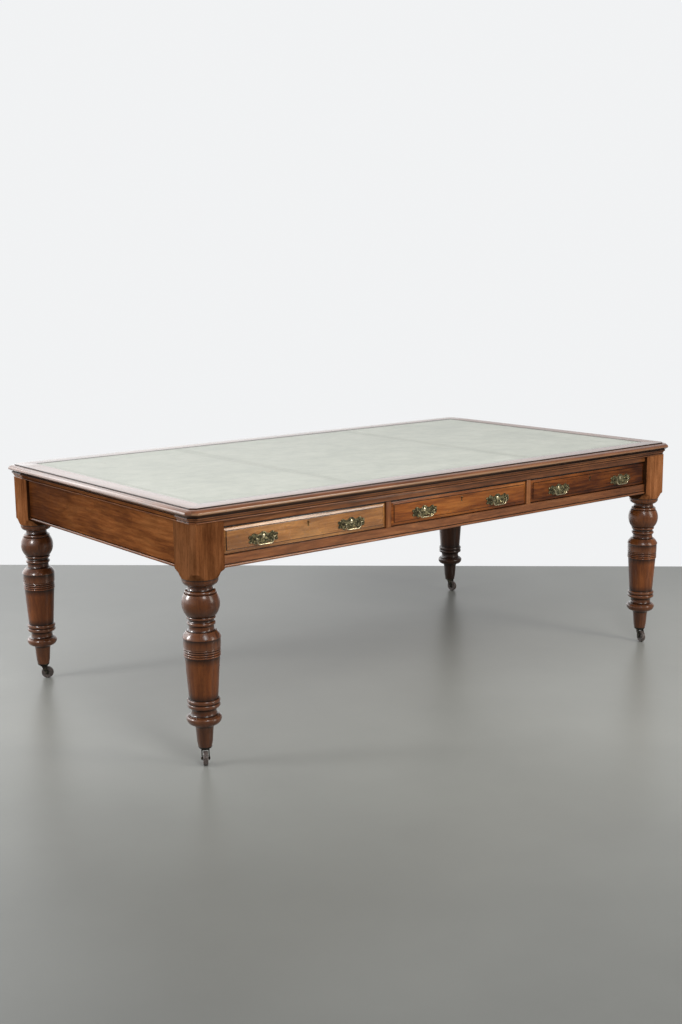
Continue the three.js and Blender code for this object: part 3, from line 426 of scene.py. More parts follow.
# Painted light: the rails darken towards the right, as the light falls off.
RAIL_DRIFT = (0, ((-0.98, 1.0), (-0.5, 0.94), (0.1, 0.86), (0.98, 0.62)))
APRON_TONES = ((0.165, 0.051, 0.016), (0.32, 0.106, 0.030), (0.465, 0.172, 0.053))
# Painted shade: the end aprons darken towards the back, as the light falls off.
APRON_DRIFT = (1, ((-0.55, 1.0), (-0.1, 0.94), (0.2, 0.58), (0.55, 0.40)))
rail_wood = polished_wood("rail_mahogany", *RAIL_TONES, "X", coat=0.3, sheen=0.3, drift=RAIL_DRIFT,
                          gap_at=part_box("front_top_rail")[0].z)
apron_wood = polished_wood("apron_mahogany", *APRON_TONES, "Y", gloss=0.42, coat=0.0, sheen=0.008,
                           drift=APRON_DRIFT)
post_wood = polished_wood("divider_mahogany", *RAIL_TONES, "Z")

LEG_TONES = ((0.22, 0.078, 0.029), (0.385, 0.150, 0.058), (0.53, 0.225, 0.096))
LEG_DRIFT = (0, ((-1.0, 0.58), (0.0, 0.62), (0.93, 0.78), (1.0, 0.95)))
LEG_POLISH = {"along": "Z", "coat": 0.0, "sheen": 0.0, "is_leg": True}
LIT_LEG = {**LEG_POLISH, "gloss": 0.32, "hollows": 0.92, "wear_and_highlight": 0.55, "drift": LEG_DRIFT}
leg_wood = polished_wood("leg_mahogany", *LEG_TONES, **LIT_LEG)
# Painted light and painted shade: a lighter and a nearly black copy of the leg finish for the back legs.
painted_light_leg_wood = polished_wood("painted_light_leg_mahogany", *shaded(LEG_TONES, 1.3), **LIT_LEG)
painted_shade_leg_wood = polished_wood("painted_shade_leg_mahogany", *shaded(LEG_TONES, 0.20), gloss=0.46, hollows=0.85, wear_and_highlight=0.2,
                              **LEG_POLISH)

# Painted light: the right drawer front darkens towards the right, as the light falls off.
DARK_DRIFT = (0, ((0.30, 1.0), (0.45, 0.95), (0.70, 0.75), (0.95, 0.60)))
pale_front = polished_wood("faded_mahogany", (0.26, 0.092, 0.017), (0.42, 0.162, 0.033), (0.61, 0.270, 0.070),
                           "X", (3.1, 0.4, 0.2), gloss=0.24, coat=1.0, sheen=0.6)
warm_front = polished_wood("red_mahogany", (0.13, 0.030, 0.006), (0.29, 0.082, 0.014), (0.46, 0.155, 0.030),
                           "X", (7.7, 1.3, 0.6), gloss=0.30, coat=0.2, sheen=0.25)
dark_front = polished_wood("flamed_mahogany", (0.035, 0.008, 0.003), (0.115, 0.028, 0.006), (0.30, 0.088, 0.016),
                           "X", (1.9, 2.2, 0.1), gloss=0.30, coat=0.08, sheen=0.2, drift=DARK_DRIFT)
print("wood finishes:", [m.name for m in bpy.data.materials if "mahogany" in m.name])

# %% [markdown]
# ## Unpolished drawer wood
# Inside, where nobody looks, the maker used cheaper pale wood and left it bare. It is dry and dull,
# so it has no coat and a high roughness.

# %% Unpolished drawer wood
def bare_wood(name):
    finish, tree, shader = new_finish(name)
    colour, height = wood_tone(tree, grain_place(tree, "Y", (1.7, 2.3, 0.9)), [
        (0.3, (0.20, 0.115, 0.05)), (0.5, (0.33, 0.205, 0.10)), (0.7, (0.43, 0.29, 0.155))])
    feed(tree, shader, {"Base Color": colour, "Roughness": 0.72, "Normal": bumped(tree, height, 0.0004, 0.5)})
    return finish


tray_wood, runner_wood = bare_wood("drawer_lining_wood"), bare_wood("runner_wood")
print("bare wood:", tray_wood.name, runner_wood.name)

# %% [markdown]
# ## Waxed leather
# The hide is a dull sage green, and its tones are set paler than that as painted sheen, for the
# wall that the waxed leather mirrors at a glancing angle. Close up it has a fine pebbled grain, a
# little over a millimetre across. From further off it is mottled, with long faint ripples where it
# was drawn over the board, and a few dark scuffs. Cells from a Voronoi texture make the pebble, and
# slow noise makes the rest. A hot wheel was run round each hide just inside its edge, which left
# two thin dark lines. The finish draws them at fixed distances from the edges of the panel that it
# is made for.

# %% Waxed leather
TOOLED_LINES = ((0.012, 0.0014), (0.021, 0.0009))
# The tones are set paler than the hide itself, as painted sheen.
HIDE_TONES_WITH_SHEEN = [(0.34, (0.46, 0.485, 0.405)), (0.5, (0.565, 0.585, 0.50)), (0.66, (0.665, 0.68, 0.595))]
SCUFF_COLOUR, TOOLED_COLOUR = (0.13, 0.13, 0.095), (0.20, 0.195, 0.145)


def in_from_edge(tree, low, high):
    """How far a point lies in from the nearest edge of a panel."""
    inward = []
    for n, at in zip((0, 1), axes(tree)):
        off = reckon(tree, "ABSOLUTE", reckon(tree, "SUBTRACT", at, (high[n] + low[n]) / 2))
        inward.append(reckon(tree, "SUBTRACT", (high[n] - low[n]) / 2, off))
    return reckon(tree, "MINIMUM", *inward)


def waxed_leather(name, shift, low, high):
    finish, tree, shader = new_finish(name)
    place = add(tree, "ShaderNodeMapping", {"Vector": object_place(tree), "Location": shift}).outputs[0]
    mottle = noise(tree, place, 7.0, 8.0, Roughness=0.78)
    colour = ramp(tree, mottle, HIDE_TONES_WITH_SHEEN)
    scuff = between(tree, noise(tree, place, 23.0, 5.0, Distortion=1.5), 0.70, 0.80)
    colour = mixed(tree, reckon(tree, "MULTIPLY", scuff, 0.45), colour, SCUFF_COLOUR)
    inward = in_from_edge(tree, low, high)
    tooled = reckon(tree, "ADD", *(reckon(tree, "COMPARE", inward, at, half) for at, half in TOOLED_LINES))
    colour = mixed(tree, reckon(tree, "MULTIPLY", tooled, 0.55), colour, TOOLED_COLOUR)
    pebble = add(tree, "ShaderNodeTexVoronoi", {"Vector": place, "Scale": 620.0}).outputs["Distance"]
    ripple = noise(tree, drawn_out(tree, place, (1.0, 5.0, 1.0)), 5.0, 3.0)
    feed(tree, shader, {
        "Base Color": with_relief(tree, colour, (0.05, 0.045, 0.03), (0.6, 0.62, 0.53), 0.30),
        "Roughness": between(tree, mottle, 0.3, 0.7, 0.31, 0.42),
        "Normal": bumped(tree, ripple, 0.0022, 0.6, Normal=bumped(tree, pebble, 0.00012, 0.5))})
    return finish


leather = {side: waxed_leather("hide_" + side, (n * 4.3, n * 1.9, 0), *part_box("leather_" + side))
           for n, side in enumerate(("left", "centre", "right"))}
print("leather finishes:", len(leather))

# %% [markdown]
# ## Old brass and the casters' metal
# Brass that is handled stays bright, and brass that isn't goes olive and then nearly black. One
# recipe makes both: a noise decides where the tarnish lies, and the share that is clean differs
# between the bails that hands polish, the plates behind them and the casters at floor level.

# %% Old brass
def old_brass(name, clean, tarnish, amount, roughness):
    """Amount is how much has tarnished, and roughness is that of the clean metal."""
    finish, tree, shader = new_finish(name)
    cloud = noise(tree, object_place(tree), 160.0, 5.0, Roughness=0.65)
    dirty = between(tree, cloud, 0.72 - amount * 0.5, 0.86 - amount * 0.5)
    feed(tree, shader, {
        "Base Color": mixed(tree, dirty, clean, tarnish),
        "Metallic": between(tree, dirty, 0.0, 1.0, 1.0, 0.55),
        "Roughness": between(tree, dirty, 0.0, 1.0, roughness, roughness + 0.28),
        "Normal": bumped(tree, cloud, 0.0002, 0.3)})
    return finish


bail_brass = old_brass("handled_brass", (0.80, 0.71, 0.47), (0.28, 0.24, 0.13), 0.26, 0.20)
plate_brass = old_brass("tarnished_brass", (0.46, 0.40, 0.22), (0.058, 0.053, 0.028), 0.66, 0.32)
caster_brass = old_brass("blackened_brass", (0.14, 0.12, 0.075), (0.016, 0.014, 0.011), 0.74, 0.34)
print("brass finishes:", [m.name for m in bpy.data.materials if m.name.endswith("brass")])

# %% [markdown]
# The casters' hard wheels are pressed from a dull grey-brown composition, gritty and unpolished.

# %% The wheels' composition
wheel_finish, wheel_tree, wheel_shader = new_finish("wheel_composition")
grit = noise(wheel_tree, object_place(wheel_tree), 210.0, 6.0)
feed(wheel_tree, wheel_shader, {
    "Base Color": ramp(wheel_tree, grit, [(0.35, (0.055, 0.042, 0.037)), (0.65, (0.165, 0.13, 0.118))]),
    "Roughness": 0.42, "Normal": bumped(wheel_tree, grit, 0.0003, 0.4)})
print("wheel finish:", wheel_finish.name)

# %% [markdown]
# ## Helpers for solid pieces
# Most of the table is made of closed skins: a ring of points, the next ring, and so on, with a face
# over each end. These helpers make such a skin, mark its relief and finish its shading.

# %% Helpers for solid pieces
def mark_relief(mesh, marks):
    """Write the relief on a mesh's points, from one mark to a point or one to a ring of points."""
    values = np.repeat(np.array(marks, np.float32), len(mesh.vertices) // len(marks))
    mesh.attributes.new("relief", "FLOAT", "POINT").data.foreach_set("value", values)


def in_scene(name, mesh):
    made = bpy.data.objects.new(name, mesh)
    scene.collection.objects.link(made)
    return made


def new_piece(name, points, faces, finish, relief=None):
    mesh = bpy.data.meshes.new(name)
    mesh.from_pydata([tuple(p) for p in points], [], faces)
    if relief is not None:
        mark_relief(mesh, relief)
    mesh.materials.append(finish)
    return in_scene(name, mesh)


def skin(rings, wrap=False):
    """Points and faces through rings of equal length: capped at both ends, or wrapped into a loop."""
    count = len(rings[0])
    points = [p for ring in rings for p in ring]
    faces = []
    for row in range(len(rings) if wrap else len(rings) - 1):
        a, b = row * count, ((row + 1) % len(rings)) * count
        faces += [(a + i, a + (i + 1) % count, b + (i + 1) % count, b + i) for i in range(count)]
    if not wrap:
        last = (len(rings) - 1) * count
        faces += [tuple(range(count))[::-1], tuple(range(last, last + count))]
    return points, faces


def settle_faces(piece, angle=34):
    """Merge doubles, turn every face outwards, and shade smooth except over sharp edges."""
    mesh = piece.data
    work = bmesh.new()
    work.from_mesh(mesh)
    bmesh.ops.remove_doubles(work, verts=work.verts, dist=1e-6)
    bmesh.ops.recalc_face_normals(work, faces=work.faces)
    if work.calc_volume(signed=True) < 0:
        bmesh.ops.reverse_faces(work, faces=work.faces)
    work.to_mesh(mesh)
    work.free()
    mesh.shade_smooth()
    mesh.set_sharp_from_angle(angle=math.radians(angle))
    return piece


def skinned(name, rings, finish, relief=None, wrap=False, angle=34):
    """A piece from its rings, with one relief mark to a ring."""
    return settle_faces(new_piece(name, *skin(rings, wrap), finish, relief), angle)


print("closed skins can be made")

# %% [markdown]
# A piece may then be eased at its edges, cut, or copied, and at last it is hung on the frame: it
# rides on a body and takes the place of the plain node.

# %% Helpers that work on a piece
def apply_all(piece):
    """Turn a piece's modifiers into plain mesh."""
    graph = bpy.context.evaluated_depsgraph_get()
    solid = bpy.data.meshes.new_from_object(piece.evaluated_get(graph))
    piece.modifiers.clear()
    piece.data = solid
    return piece


def eased(piece, width):
    """Take the sharpness off a piece's edges."""
    bevel = piece.modifiers.new("eased", "BEVEL")
    bevel.width = width
    bevel.segments = 2
    bevel.limit_method = "ANGLE"
    bevel.angle_limit = math.radians(35)
    bevel.harden_normals = False
    return apply_all(piece)


def cut_by(piece, tool, angle):
    """Cut one piece's shape out of another, and take the tool away."""
    cut = piece.modifiers.new("cut", "BOOLEAN")
    cut.object = tool
    cut.operation = "DIFFERENCE"
    bpy.context.view_layer.update()
    settle_faces(apply_all(piece), angle)
    bpy.data.objects.remove(tool)


def hang(piece, body, slot, *nodes):
    """Let a piece ride on a body, in place of the plain nodes. The slot is not used."""
    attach(piece, body)
    if nodes:
        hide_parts(*nodes)
    return piece


def copied(piece, name, matrix):
    """A copy of a piece with a new place in its mesh."""
    mesh = piece.data.copy()
    mesh.transform(matrix)
    return in_scene(name, mesh)


def joint_place(name):
    return Vector(next(j for j in frame["joints"] if j["name"] == name)["pos_m"])


print("pieces can be eased, cut, copied and hung")

# %% [markdown]
# ## The moulded top
# The top board's edge has four members: the flat surface, a sunk quirk, a full rounded ovolo and an
# undercut below it. All of it runs round a plan with canted corners, so one outline drawn further in
# or out gives every ring of the skin. The last rings step in and down to the recess that the leather
# lies in. Each point of the outline is how far in, how high and how proud: minus one marks the bottom
# of a hollow, and the finish paints such points dark as shade, so the quirk, the undercut and the
# recess's edge show as dark lines.

# %% The moulded top
low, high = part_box("top_board")
TOP_X, TOP_Y, TOP_Z, TOP_UNDER = high.x, high.y, high.z, low.z
CORNER_CANT, FLAT_IN, BORDER, LEATHER_DEPTH = 0.028, 0.021, 0.060, 0.003
LEATHER_X, LEATHER_Y = TOP_X - FLAT_IN - BORDER, TOP_Y - FLAT_IN - BORDER
NOSE = TOP_Z - 0.014


def canted(inset, z, cant=CORNER_CANT, half_x=TOP_X, half_y=TOP_Y):
    """The plan of the top as a ring of eight points, drawn in from its edge by an inset."""
    x, y = half_x - inset, half_y - inset
    c = max(cant - inset * (2 - math.sqrt(2)), 0.0004)
    return [(x, -y + c, z), (x, y - c, z), (x - c, y, z), (-x + c, y, z),
            (-x, y - c, z), (-x, -y + c, z), (-x + c, -y, z), (x - c, -y, z)]


def arc(start, end, steps, bulge_first):
    """Points along a quarter of an ellipse, from just after start to end."""
    made = []
    for n in range(1, steps + 1):
        a = math.pi / 2 * n / steps
        s, c = math.sin(a), 1 - math.cos(a)
        u, v = (s, c) if bulge_first else (c, s)
        made.append((start[0] + (end[0] - start[0]) * u, start[1] + (end[1] - start[1]) * v))
    return made


undercut = [(0.011, TOP_UNDER, -1), (0.010, TOP_UNDER + 0.001, -1), (0.0022, NOSE - 0.0048, -1),
            (0.0006, NOSE - 0.0036, -0.6), (0.0, NOSE - 0.0022, 0), (0.0, NOSE, 0)]
ovolo = [(i, z, 0) for i, z in arc((0.0, NOSE), (0.0180, TOP_Z - 0.0034), 9, False)]
quirk = [(0.0183, TOP_Z - 0.0038, -1), (0.0186, TOP_Z - 0.0052, -1), (0.0205, TOP_Z - 0.0052, -1),
         (0.0207, TOP_Z - 0.0003, -1), (0.0212, TOP_Z, -0.6), (0.0220, TOP_Z, 0)]
edge = undercut + ovolo + quirk
recess = [(0.0006, TOP_Z, 0), (0.0, TOP_Z - 0.0002, -1), (0.0, TOP_Z - LEATHER_DEPTH, -1)]
rings = [canted(i, z) for i, z, _ in edge]
rings += [canted(0, z, 0, LEATHER_X + out, LEATHER_Y + out) for out, z, _ in recess]
print("the top is", round(2 * TOP_X, 3), "by", round(2 * TOP_Y, 3), "m with", len(rings), "rings")

# %% [markdown]
# ## The border's finish
# The border is four boards that meet at mitred corners, so the grain turns a corner there. The
# finish asks of each point whether it lies further out past the leather along X or along Y, and
# uses the end boards' grain or the long boards'. Where the two are equal lies the mitre's thin
# dark joint. A dark line round the leather, wider along the long sides, is painted shadow of the
# gap between the border and the leather. Past the flat border, on the ovolo, the stain is browner.
# Its lower half carries a painted highlight along the two long edges, strongest on the left. The
# ends and the back of the border have kept more of their shine.

# %% The border's finish
MITRE_HALF, LONG_GAP_SHADOW, END_GAP_SHADOW, LINE_DARKNESS = 0.0007, 0.0065, 0.0018, 0.8
LINE_COLOUR, EDGE_STAIN, EDGE_HIGHLIGHT = (0.03, 0.018, 0.012), (0.95, 0.72, 0.48), (0.62, 0.38, 0.21)
BORDER_TONES = [(0.30, (0.15, 0.060, 0.034)), (0.50, (0.25, 0.115, 0.068)), (0.70, (0.34, 0.175, 0.11))]


def border_finish():
    finish, tree, shader = new_finish("border_mahogany")
    along_x, height_x = wood_tone(tree, grain_place(tree, "X", (5.1, 0.2, 0)), BORDER_TONES)
    along_y, height_y = wood_tone(tree, grain_place(tree, "Y", (2.6, 4.2, 0)), BORDER_TONES)
    x, y, z = axes(tree)
    past_x = reckon(tree, "SUBTRACT", reckon(tree, "ABSOLUTE", x), LEATHER_X)
    past_y = reckon(tree, "SUBTRACT", reckon(tree, "ABSOLUTE", y), LEATHER_Y)
    past, lead = reckon(tree, "MAXIMUM", past_x, past_y), reckon(tree, "SUBTRACT", past_x, past_y)
    on_end = reckon(tree, "GREATER_THAN", lead, 0.0)
    joint = reckon(tree, "LESS_THAN", reckon(tree, "ABSOLUTE", lead), MITRE_HALF)
    # A dark line round the leather is painted shadow of the gap between the border and the leather.
    leather_gap_shadow = reckon(tree, "LESS_THAN", past, blended(tree, on_end, LONG_GAP_SHADOW, END_GAP_SHADOW))
    line = reckon(tree, "MULTIPLY", reckon(tree, "MAXIMUM", joint, leather_gap_shadow), LINE_DARKNESS)
    colour = mixed(tree, line, mixed(tree, on_end, along_x, along_y), LINE_COLOUR)

    on_edge = between(tree, past, BORDER + 0.001, BORDER + 0.003)
    colour = mixed(tree, on_edge, colour, EDGE_STAIN, "MULTIPLY")
    long_edge = reckon(tree, "MULTIPLY", on_edge, reckon(tree, "SUBTRACT", 1.0, on_end))
    # A painted highlight on the lower half of the long edges, strongest on the left.
    low_down = between(tree, z, TOP_Z - 0.0095, TOP_Z - 0.0140)
    edge_highlight = reckon(tree, "MULTIPLY", low_down, between(tree, x, 0.0, 0.9, 0.50, 0.22))
    colour = mixed(tree, reckon(tree, "MULTIPLY", edge_highlight, long_edge), colour, EDGE_HIGHLIGHT)

    edge_coat = blended(tree, on_end, 0.6, between(tree, y, -0.3, 0.6, 1.0, 0.55))
    flat_coat = between(tree, y, LEATHER_Y - 0.04, LEATHER_Y, 0.42, 0.9)
    feed(tree, shader, {
        "Base Color": with_relief(tree, colour, (0.018, 0.008, 0.005), (0.5, 0.28, 0.18)),
        "Specular IOR Level": blended(tree, reckon(tree, "MULTIPLY", on_edge, on_end), 0.5, 1.0),
        "Specular Tint": (1.0, 0.975, 0.93, 1.0), "Roughness": 0.28,
        "Coat Weight": blended(tree, on_edge, flat_coat, edge_coat), "Coat Roughness": SMOOTH,
        "Normal": bumped(tree, blended(tree, on_end, height_x, height_y), 0.0002, 0.3)})
    return finish


top_board = skinned("moulded_top", rings, border_finish(), [r for *_, r in edge + recess])
hang(top_board, "table", "border", "top_board")
print("the top has", len(top_board.data.polygons), "faces")

# %% [markdown]
# ## The leather panels
# Three hides cover the board, so two seams cross it. Each is a thin sheet whose pared edge turns
# down, sunk a millimetre below the border. The edge is marked as a hollow, so the finish paints it
# dark as shade in the gap and at the seams.

# %% The leather panels
def hide_panel(name, low, high, finish):
    # The edge rows are marked as a hollow, which the finish paints dark as shade.
    rows = [(0, low.z, -1), (0, high.z - 0.0007, -1), (0.0004, high.z - 0.0002, -1), (0.0014, high.z, -1),
            (0.0026, high.z, 0)]
    rings = [[(low.x + i, low.y + i, z), (high.x - i, low.y + i, z), (high.x - i, high.y - i, z),
              (low.x + i, high.y - i, z)] for i, z, _ in rows]
    return skinned(name, rings, finish, [r for *_, r in rows])


for side, finish in leather.items():
    panel = hide_panel("hide_" + side, *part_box("leather_" + side), finish)
    hang(panel, "table", "leather", "leather_" + side)
print("leather panels:", len(leather))

# %% [markdown]
# ## The moulded frame below the top
# A second moulding thickens the top from below: a fillet, a cove that runs in to the frieze, and a
# small bead at its foot. It is one frame like a picture frame, so its section is wrapped round the
# same canted plan, and then sawn where the real one is joined, just behind the long front and back
# pieces.

# %% The moulded frame below the top
low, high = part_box("top_frame_front")
FRAME_FOOT, FRAME_TOP = low.z, high.z
FRAME_IN, COVE_IN, FRAME_WIDE, SAW = 0.0105, 0.007, 0.090, 0.0008
COVE_END, BEAD_TOP = FRAME_IN + COVE_IN, FRAME_FOOT + 0.0036
INNER_Y = TOP_Y - FRAME_IN - FRAME_WIDE

section = [(COVE_END + 0.002, FRAME_FOOT, -1)]
for n in range(9):
    a = math.pi * n / 8
    section.append((COVE_END - 0.0016 * math.sin(a), FRAME_FOOT + 0.0017 * (1 - math.cos(a)), 0.3))
section += [(COVE_END + 0.0008, BEAD_TOP, -1), (COVE_END + 0.0008, BEAD_TOP + 0.0014, -1)]
section += [(i, z, 0) for i, z in arc((COVE_END - 0.0008, BEAD_TOP + 0.0015),
                                      (FRAME_IN + 0.0012, FRAME_TOP - 0.0058), 7, False)]
# The small quirk and the top of the fillet under the ovolo are marked as hollows, which the finish paints dark as the
# ovolo's shadow.
section += [(FRAME_IN + 0.0022, FRAME_TOP - 0.0057, -1), (FRAME_IN + 0.0022, FRAME_TOP - 0.0046, -1),
            (FRAME_IN, FRAME_TOP - 0.0045, 0.2), (FRAME_IN, FRAME_TOP - 0.0030, 0),
            (FRAME_IN, FRAME_TOP - 0.0022, -1), (FRAME_IN, FRAME_TOP - 0.0006, -1),
            (FRAME_IN + 0.0008, FRAME_TOP, -1), (FRAME_IN + FRAME_WIDE, FRAME_TOP, 0),
            (FRAME_IN + FRAME_WIDE, FRAME_FOOT, 0)]
frame_points, frame_faces = skin([canted(i, z) for i, z, _ in section], wrap=True)


def sawn(name, finish, cuts):
    """A copy of the whole frame, cut by planes (point, outward direction) and closed."""
    piece = new_piece(name, frame_points, frame_faces, finish, [r for *_, r in section])
    work = bmesh.new()
    work.from_mesh(piece.data)
    bmesh.ops.recalc_face_normals(work, faces=work.faces)
    for place, outward in cuts:
        every = work.verts[:] + work.edges[:] + work.faces[:]
        cut = bmesh.ops.bisect_plane(work, geom=every, plane_co=place, plane_no=outward, clear_outer=True)
        rim = [g for g in cut["geom_cut"] if isinstance(g, bmesh.types.BMEdge)]
        if rim:
            bmesh.ops.holes_fill(work, edges=rim)
    work.to_mesh(piece.data)
    work.free()
    return settle_faces(piece)


end_cuts = [((0, -INNER_Y + SAW, 0), (0, -1, 0)), ((0, INNER_Y - SAW, 0), (0, 1, 0))]
for side, finish, cuts in (("front", rail_wood, [((0, -INNER_Y - SAW, 0), (0, 1, 0))]),
                           ("back", rail_wood, [((0, INNER_Y + SAW, 0), (0, -1, 0))]),
                           ("left", apron_wood, end_cuts + [((0, 0, 0), (1, 0, 0))]),
                           ("right", apron_wood, end_cuts + [((0, 0, 0), (-1, 0, 0))])):
    hang(sawn("under_moulding_" + side, finish, cuts), "table", "mahogany", "top_frame_" + side)
print("the under-moulding's section has", len(section), "points")

# %% [markdown]
# ## Helpers for geometry trees
# The boards with a bead, the legs and the bails are made by small trees of geometry nodes. Each
# tree reads a drawing, which is a mesh of edges, and ends in the same way: its result is made
# real, painted with one finish and sent out. Running a tree leaves a plain mesh.

# %% Helpers for geometry trees
def drawn_line(name, points, relief=None, closed=False):
    """A line through points as a mesh of edges that a tree can read."""
    mesh = bpy.data.meshes.new(name)
    count = len(points)
    mesh.from_pydata(points, [(n, (n + 1) % count) for n in range(count if closed else count - 1)], [])
    if relief is not None:
        mark_relief(mesh, relief)
    return in_scene(name, mesh)


def new_tree(name, inputs):
    """An empty geometry tree with named inputs, its inputs' sockets, its output and their keys."""
    tree = bpy.data.node_groups.new(name, "GeometryNodeTree")
    tree.interface.new_socket("Geometry", in_out="OUTPUT", socket_type="NodeSocketGeometry")
    keys = {}
    for label, kind in inputs:
        keys[label] = tree.interface.new_socket(label, in_out="INPUT", socket_type=kind).identifier
    return tree, add(tree, "NodeGroupInput").outputs, add(tree, "NodeGroupOutput"), keys


def drawing_in(tree, socket):
    return add(tree, "GeometryNodeObjectInfo", {"Object": socket}).outputs["Geometry"]


def send_out(tree, output, geometry, finish):
    real = add(tree, "GeometryNodeRealizeInstances", {0: geometry}).outputs[0]
    painted = add(tree, "GeometryNodeSetMaterial", {"Geometry": real, "Material": finish}).outputs[0]
    tree.links.new(painted, output.inputs[0])


def run_tree(name, tree, keys, values):
    """Run a tree on an empty piece and keep the result as plain mesh."""
    piece = in_scene(name, bpy.data.meshes.new(name))
    nodes = piece.modifiers.new(name, "NODES")
    nodes.node_group = tree
    for label, value in values.items():
        nodes[keys[label]] = value
    bpy.context.view_layer.update()
    apply_all(piece)
    finish = piece.data.materials[-1]
    piece.data.materials.clear()
    piece.data.materials.append(finish)
    piece.data.polygons.foreach_set("material_index", [0] * len(piece.data.polygons))
    return piece


print("the trees' helpers are ready")

# %% [markdown]
# ## Boards with a bead
# The long lower edges of the rail and aprons carry a half-round bead with a quirk above it. Such a
# board is one outline carried along a straight path, which is what Curve to Mesh does, so a small
# node tree makes all four from the same drawing.

# %% The bead's tree
board_tree, board_in, board_out, board_keys = new_tree("board_along_a_path", [
    ("Outline", "NodeSocketObject"), ("Length", "NodeSocketFloat"), ("Wood", "NodeSocketMaterial")])
outline = add(board_tree, "GeometryNodeMeshToCurve", {"Mesh": drawing_in(board_tree, board_in["Outline"])})
half_run = reckon(board_tree, "MULTIPLY", board_in["Length"], 0.5)
far_end = add(board_tree, "ShaderNodeCombineXYZ", {"X": half_run}).outputs[0]
near_end = add(board_tree, "ShaderNodeCombineXYZ", {"X": reckon(board_tree, "MULTIPLY", half_run, -1.0)}).outputs[0]
path = add(board_tree, "GeometryNodeCurvePrimitiveLine", {"Start": near_end, "End": far_end})
board = add(board_tree, "GeometryNodeCurveToMesh", {"Curve": path.outputs[0], "Profile Curve": outline.outputs[0],
                                                    "Fill Caps": True})
send_out(board_tree, board_out, board.outputs[0], board_in["Wood"])
print("the board's tree has", len(board_tree.nodes), "nodes")

# %% [markdown]
# The outline is drawn face down the -Y side and then turned for each side of the table.

# %% The rail and the aprons
BEAD_TALL, BEAD_PROUD, QUIRK = 0.008, 0.003, 0.0026


def beaded_outline(name, thick, tall):
    """Depth (-X, the face at zero) and height (-Y) of a board with a bead at its foot."""
    quirk_top = BEAD_TALL + QUIRK
    # The quirk is marked as a hollow, which the finish paints dark as shade; the bead is marked proud, for more coat
    # and a colour that is part wear and part painted highlight.
    points = [(0.0, tall, 0), (0.0, quirk_top + 0.0002, 0), (0.0002, quirk_top, -1),
              (QUIRK, BEAD_TALL + QUIRK * 0.9, -1), (QUIRK, BEAD_TALL, -1), (0.0002, BEAD_TALL, -1)]
    radius = BEAD_TALL / 2
    for n in range(11):
        a = math.pi / 2 - math.pi * n / 10
        points.append((-BEAD_PROUD * math.cos(a), radius + radius * math.sin(a), min(1.0, math.sin(a) + 0.6)))
    points += [(thick, 0.0, 0), (thick, tall, 0)]
    return drawn_line(name, [(-x, -y, 0) for x, y, _ in points], [r for *_, r in points], closed=True)


def beaded_board(node, turn, finish):
    """Make the board that stands for a node, turned about Z so that its face looks outwards."""
    low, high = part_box(node)
    size = high - low
    long, deep = (size.x, size.y) if turn % 180 == 0 else (size.y, size.x)
    drawing = beaded_outline(node + "_outline", deep - BEAD_PROUD, size.z)
    piece = run_tree(node + "_beaded", board_tree, board_keys, {"Outline": drawing, "Length": long, "Wood": finish})
    shape = np.array([v.co for v in piece.data.vertices])
    print(node, "drawn", np.round(np.ptp(shape, axis=0), 4))
    piece.data.transform(Matrix.Translation((0, -shape[:, 1].min() - deep / 2, -shape[:, 2].min() - size.z / 2)))
    piece.data.transform(Matrix.Translation((low + high) / 2) @ Matrix.Rotation(math.radians(turn), 4, "Z"))
    bpy.data.objects.remove(drawing)
    hang(settle_faces(piece), "table", "mahogany", node)


for node, turn, finish in (("front_bottom_rail", 0, rail_wood), ("back_apron", 180, rail_wood),
                           ("left_apron", -90, apron_wood), ("right_apron", 90, apron_wood)):
    beaded_board(node, turn, finish)

# %% [markdown]
# ## The plain rails
# The rail above the drawers and the two uprights between them are plain boards. Only their edges
# are softened, because no old edge is sharp.

# %% The plain rails
def slab(name, low, high, finish, ease=0.0):
    """A board between two corners, with its edges eased if asked."""
    x0, y0, z0 = low
    x1, y1, z1 = high
    ring = [(x0, y0), (x1, y0), (x1, y1), (x0, y1)]
    piece = new_piece(name, *skin([[(x, y, z) for x, y in ring] for z in (z0, z1)]), finish)
    if ease:
        eased(piece, ease)
    return settle_faces(piece)


plain_rails = {"front_top_rail": rail_wood, "divider_left": post_wood, "divider_right": post_wood}
for node, finish in plain_rails.items():
    hang(slab(node + "_board", *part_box(node), finish, ease=0.0006), "table", "mahogany", node)
print("plain rails:", len(plain_rails))

# %% [markdown]
# ## The turned legs
# A leg is a square post that a lathe has cut into. The turner works from the top down, one member
# below the last: the block and its cut shoulder, the cup, neck and collar, the ball, the rings, the
# drum, four reeds, the tapered shaft, two ankle rings, the cove, the disc and the tapered foot. A
# small class takes one call for each member and keeps the points of the profile.

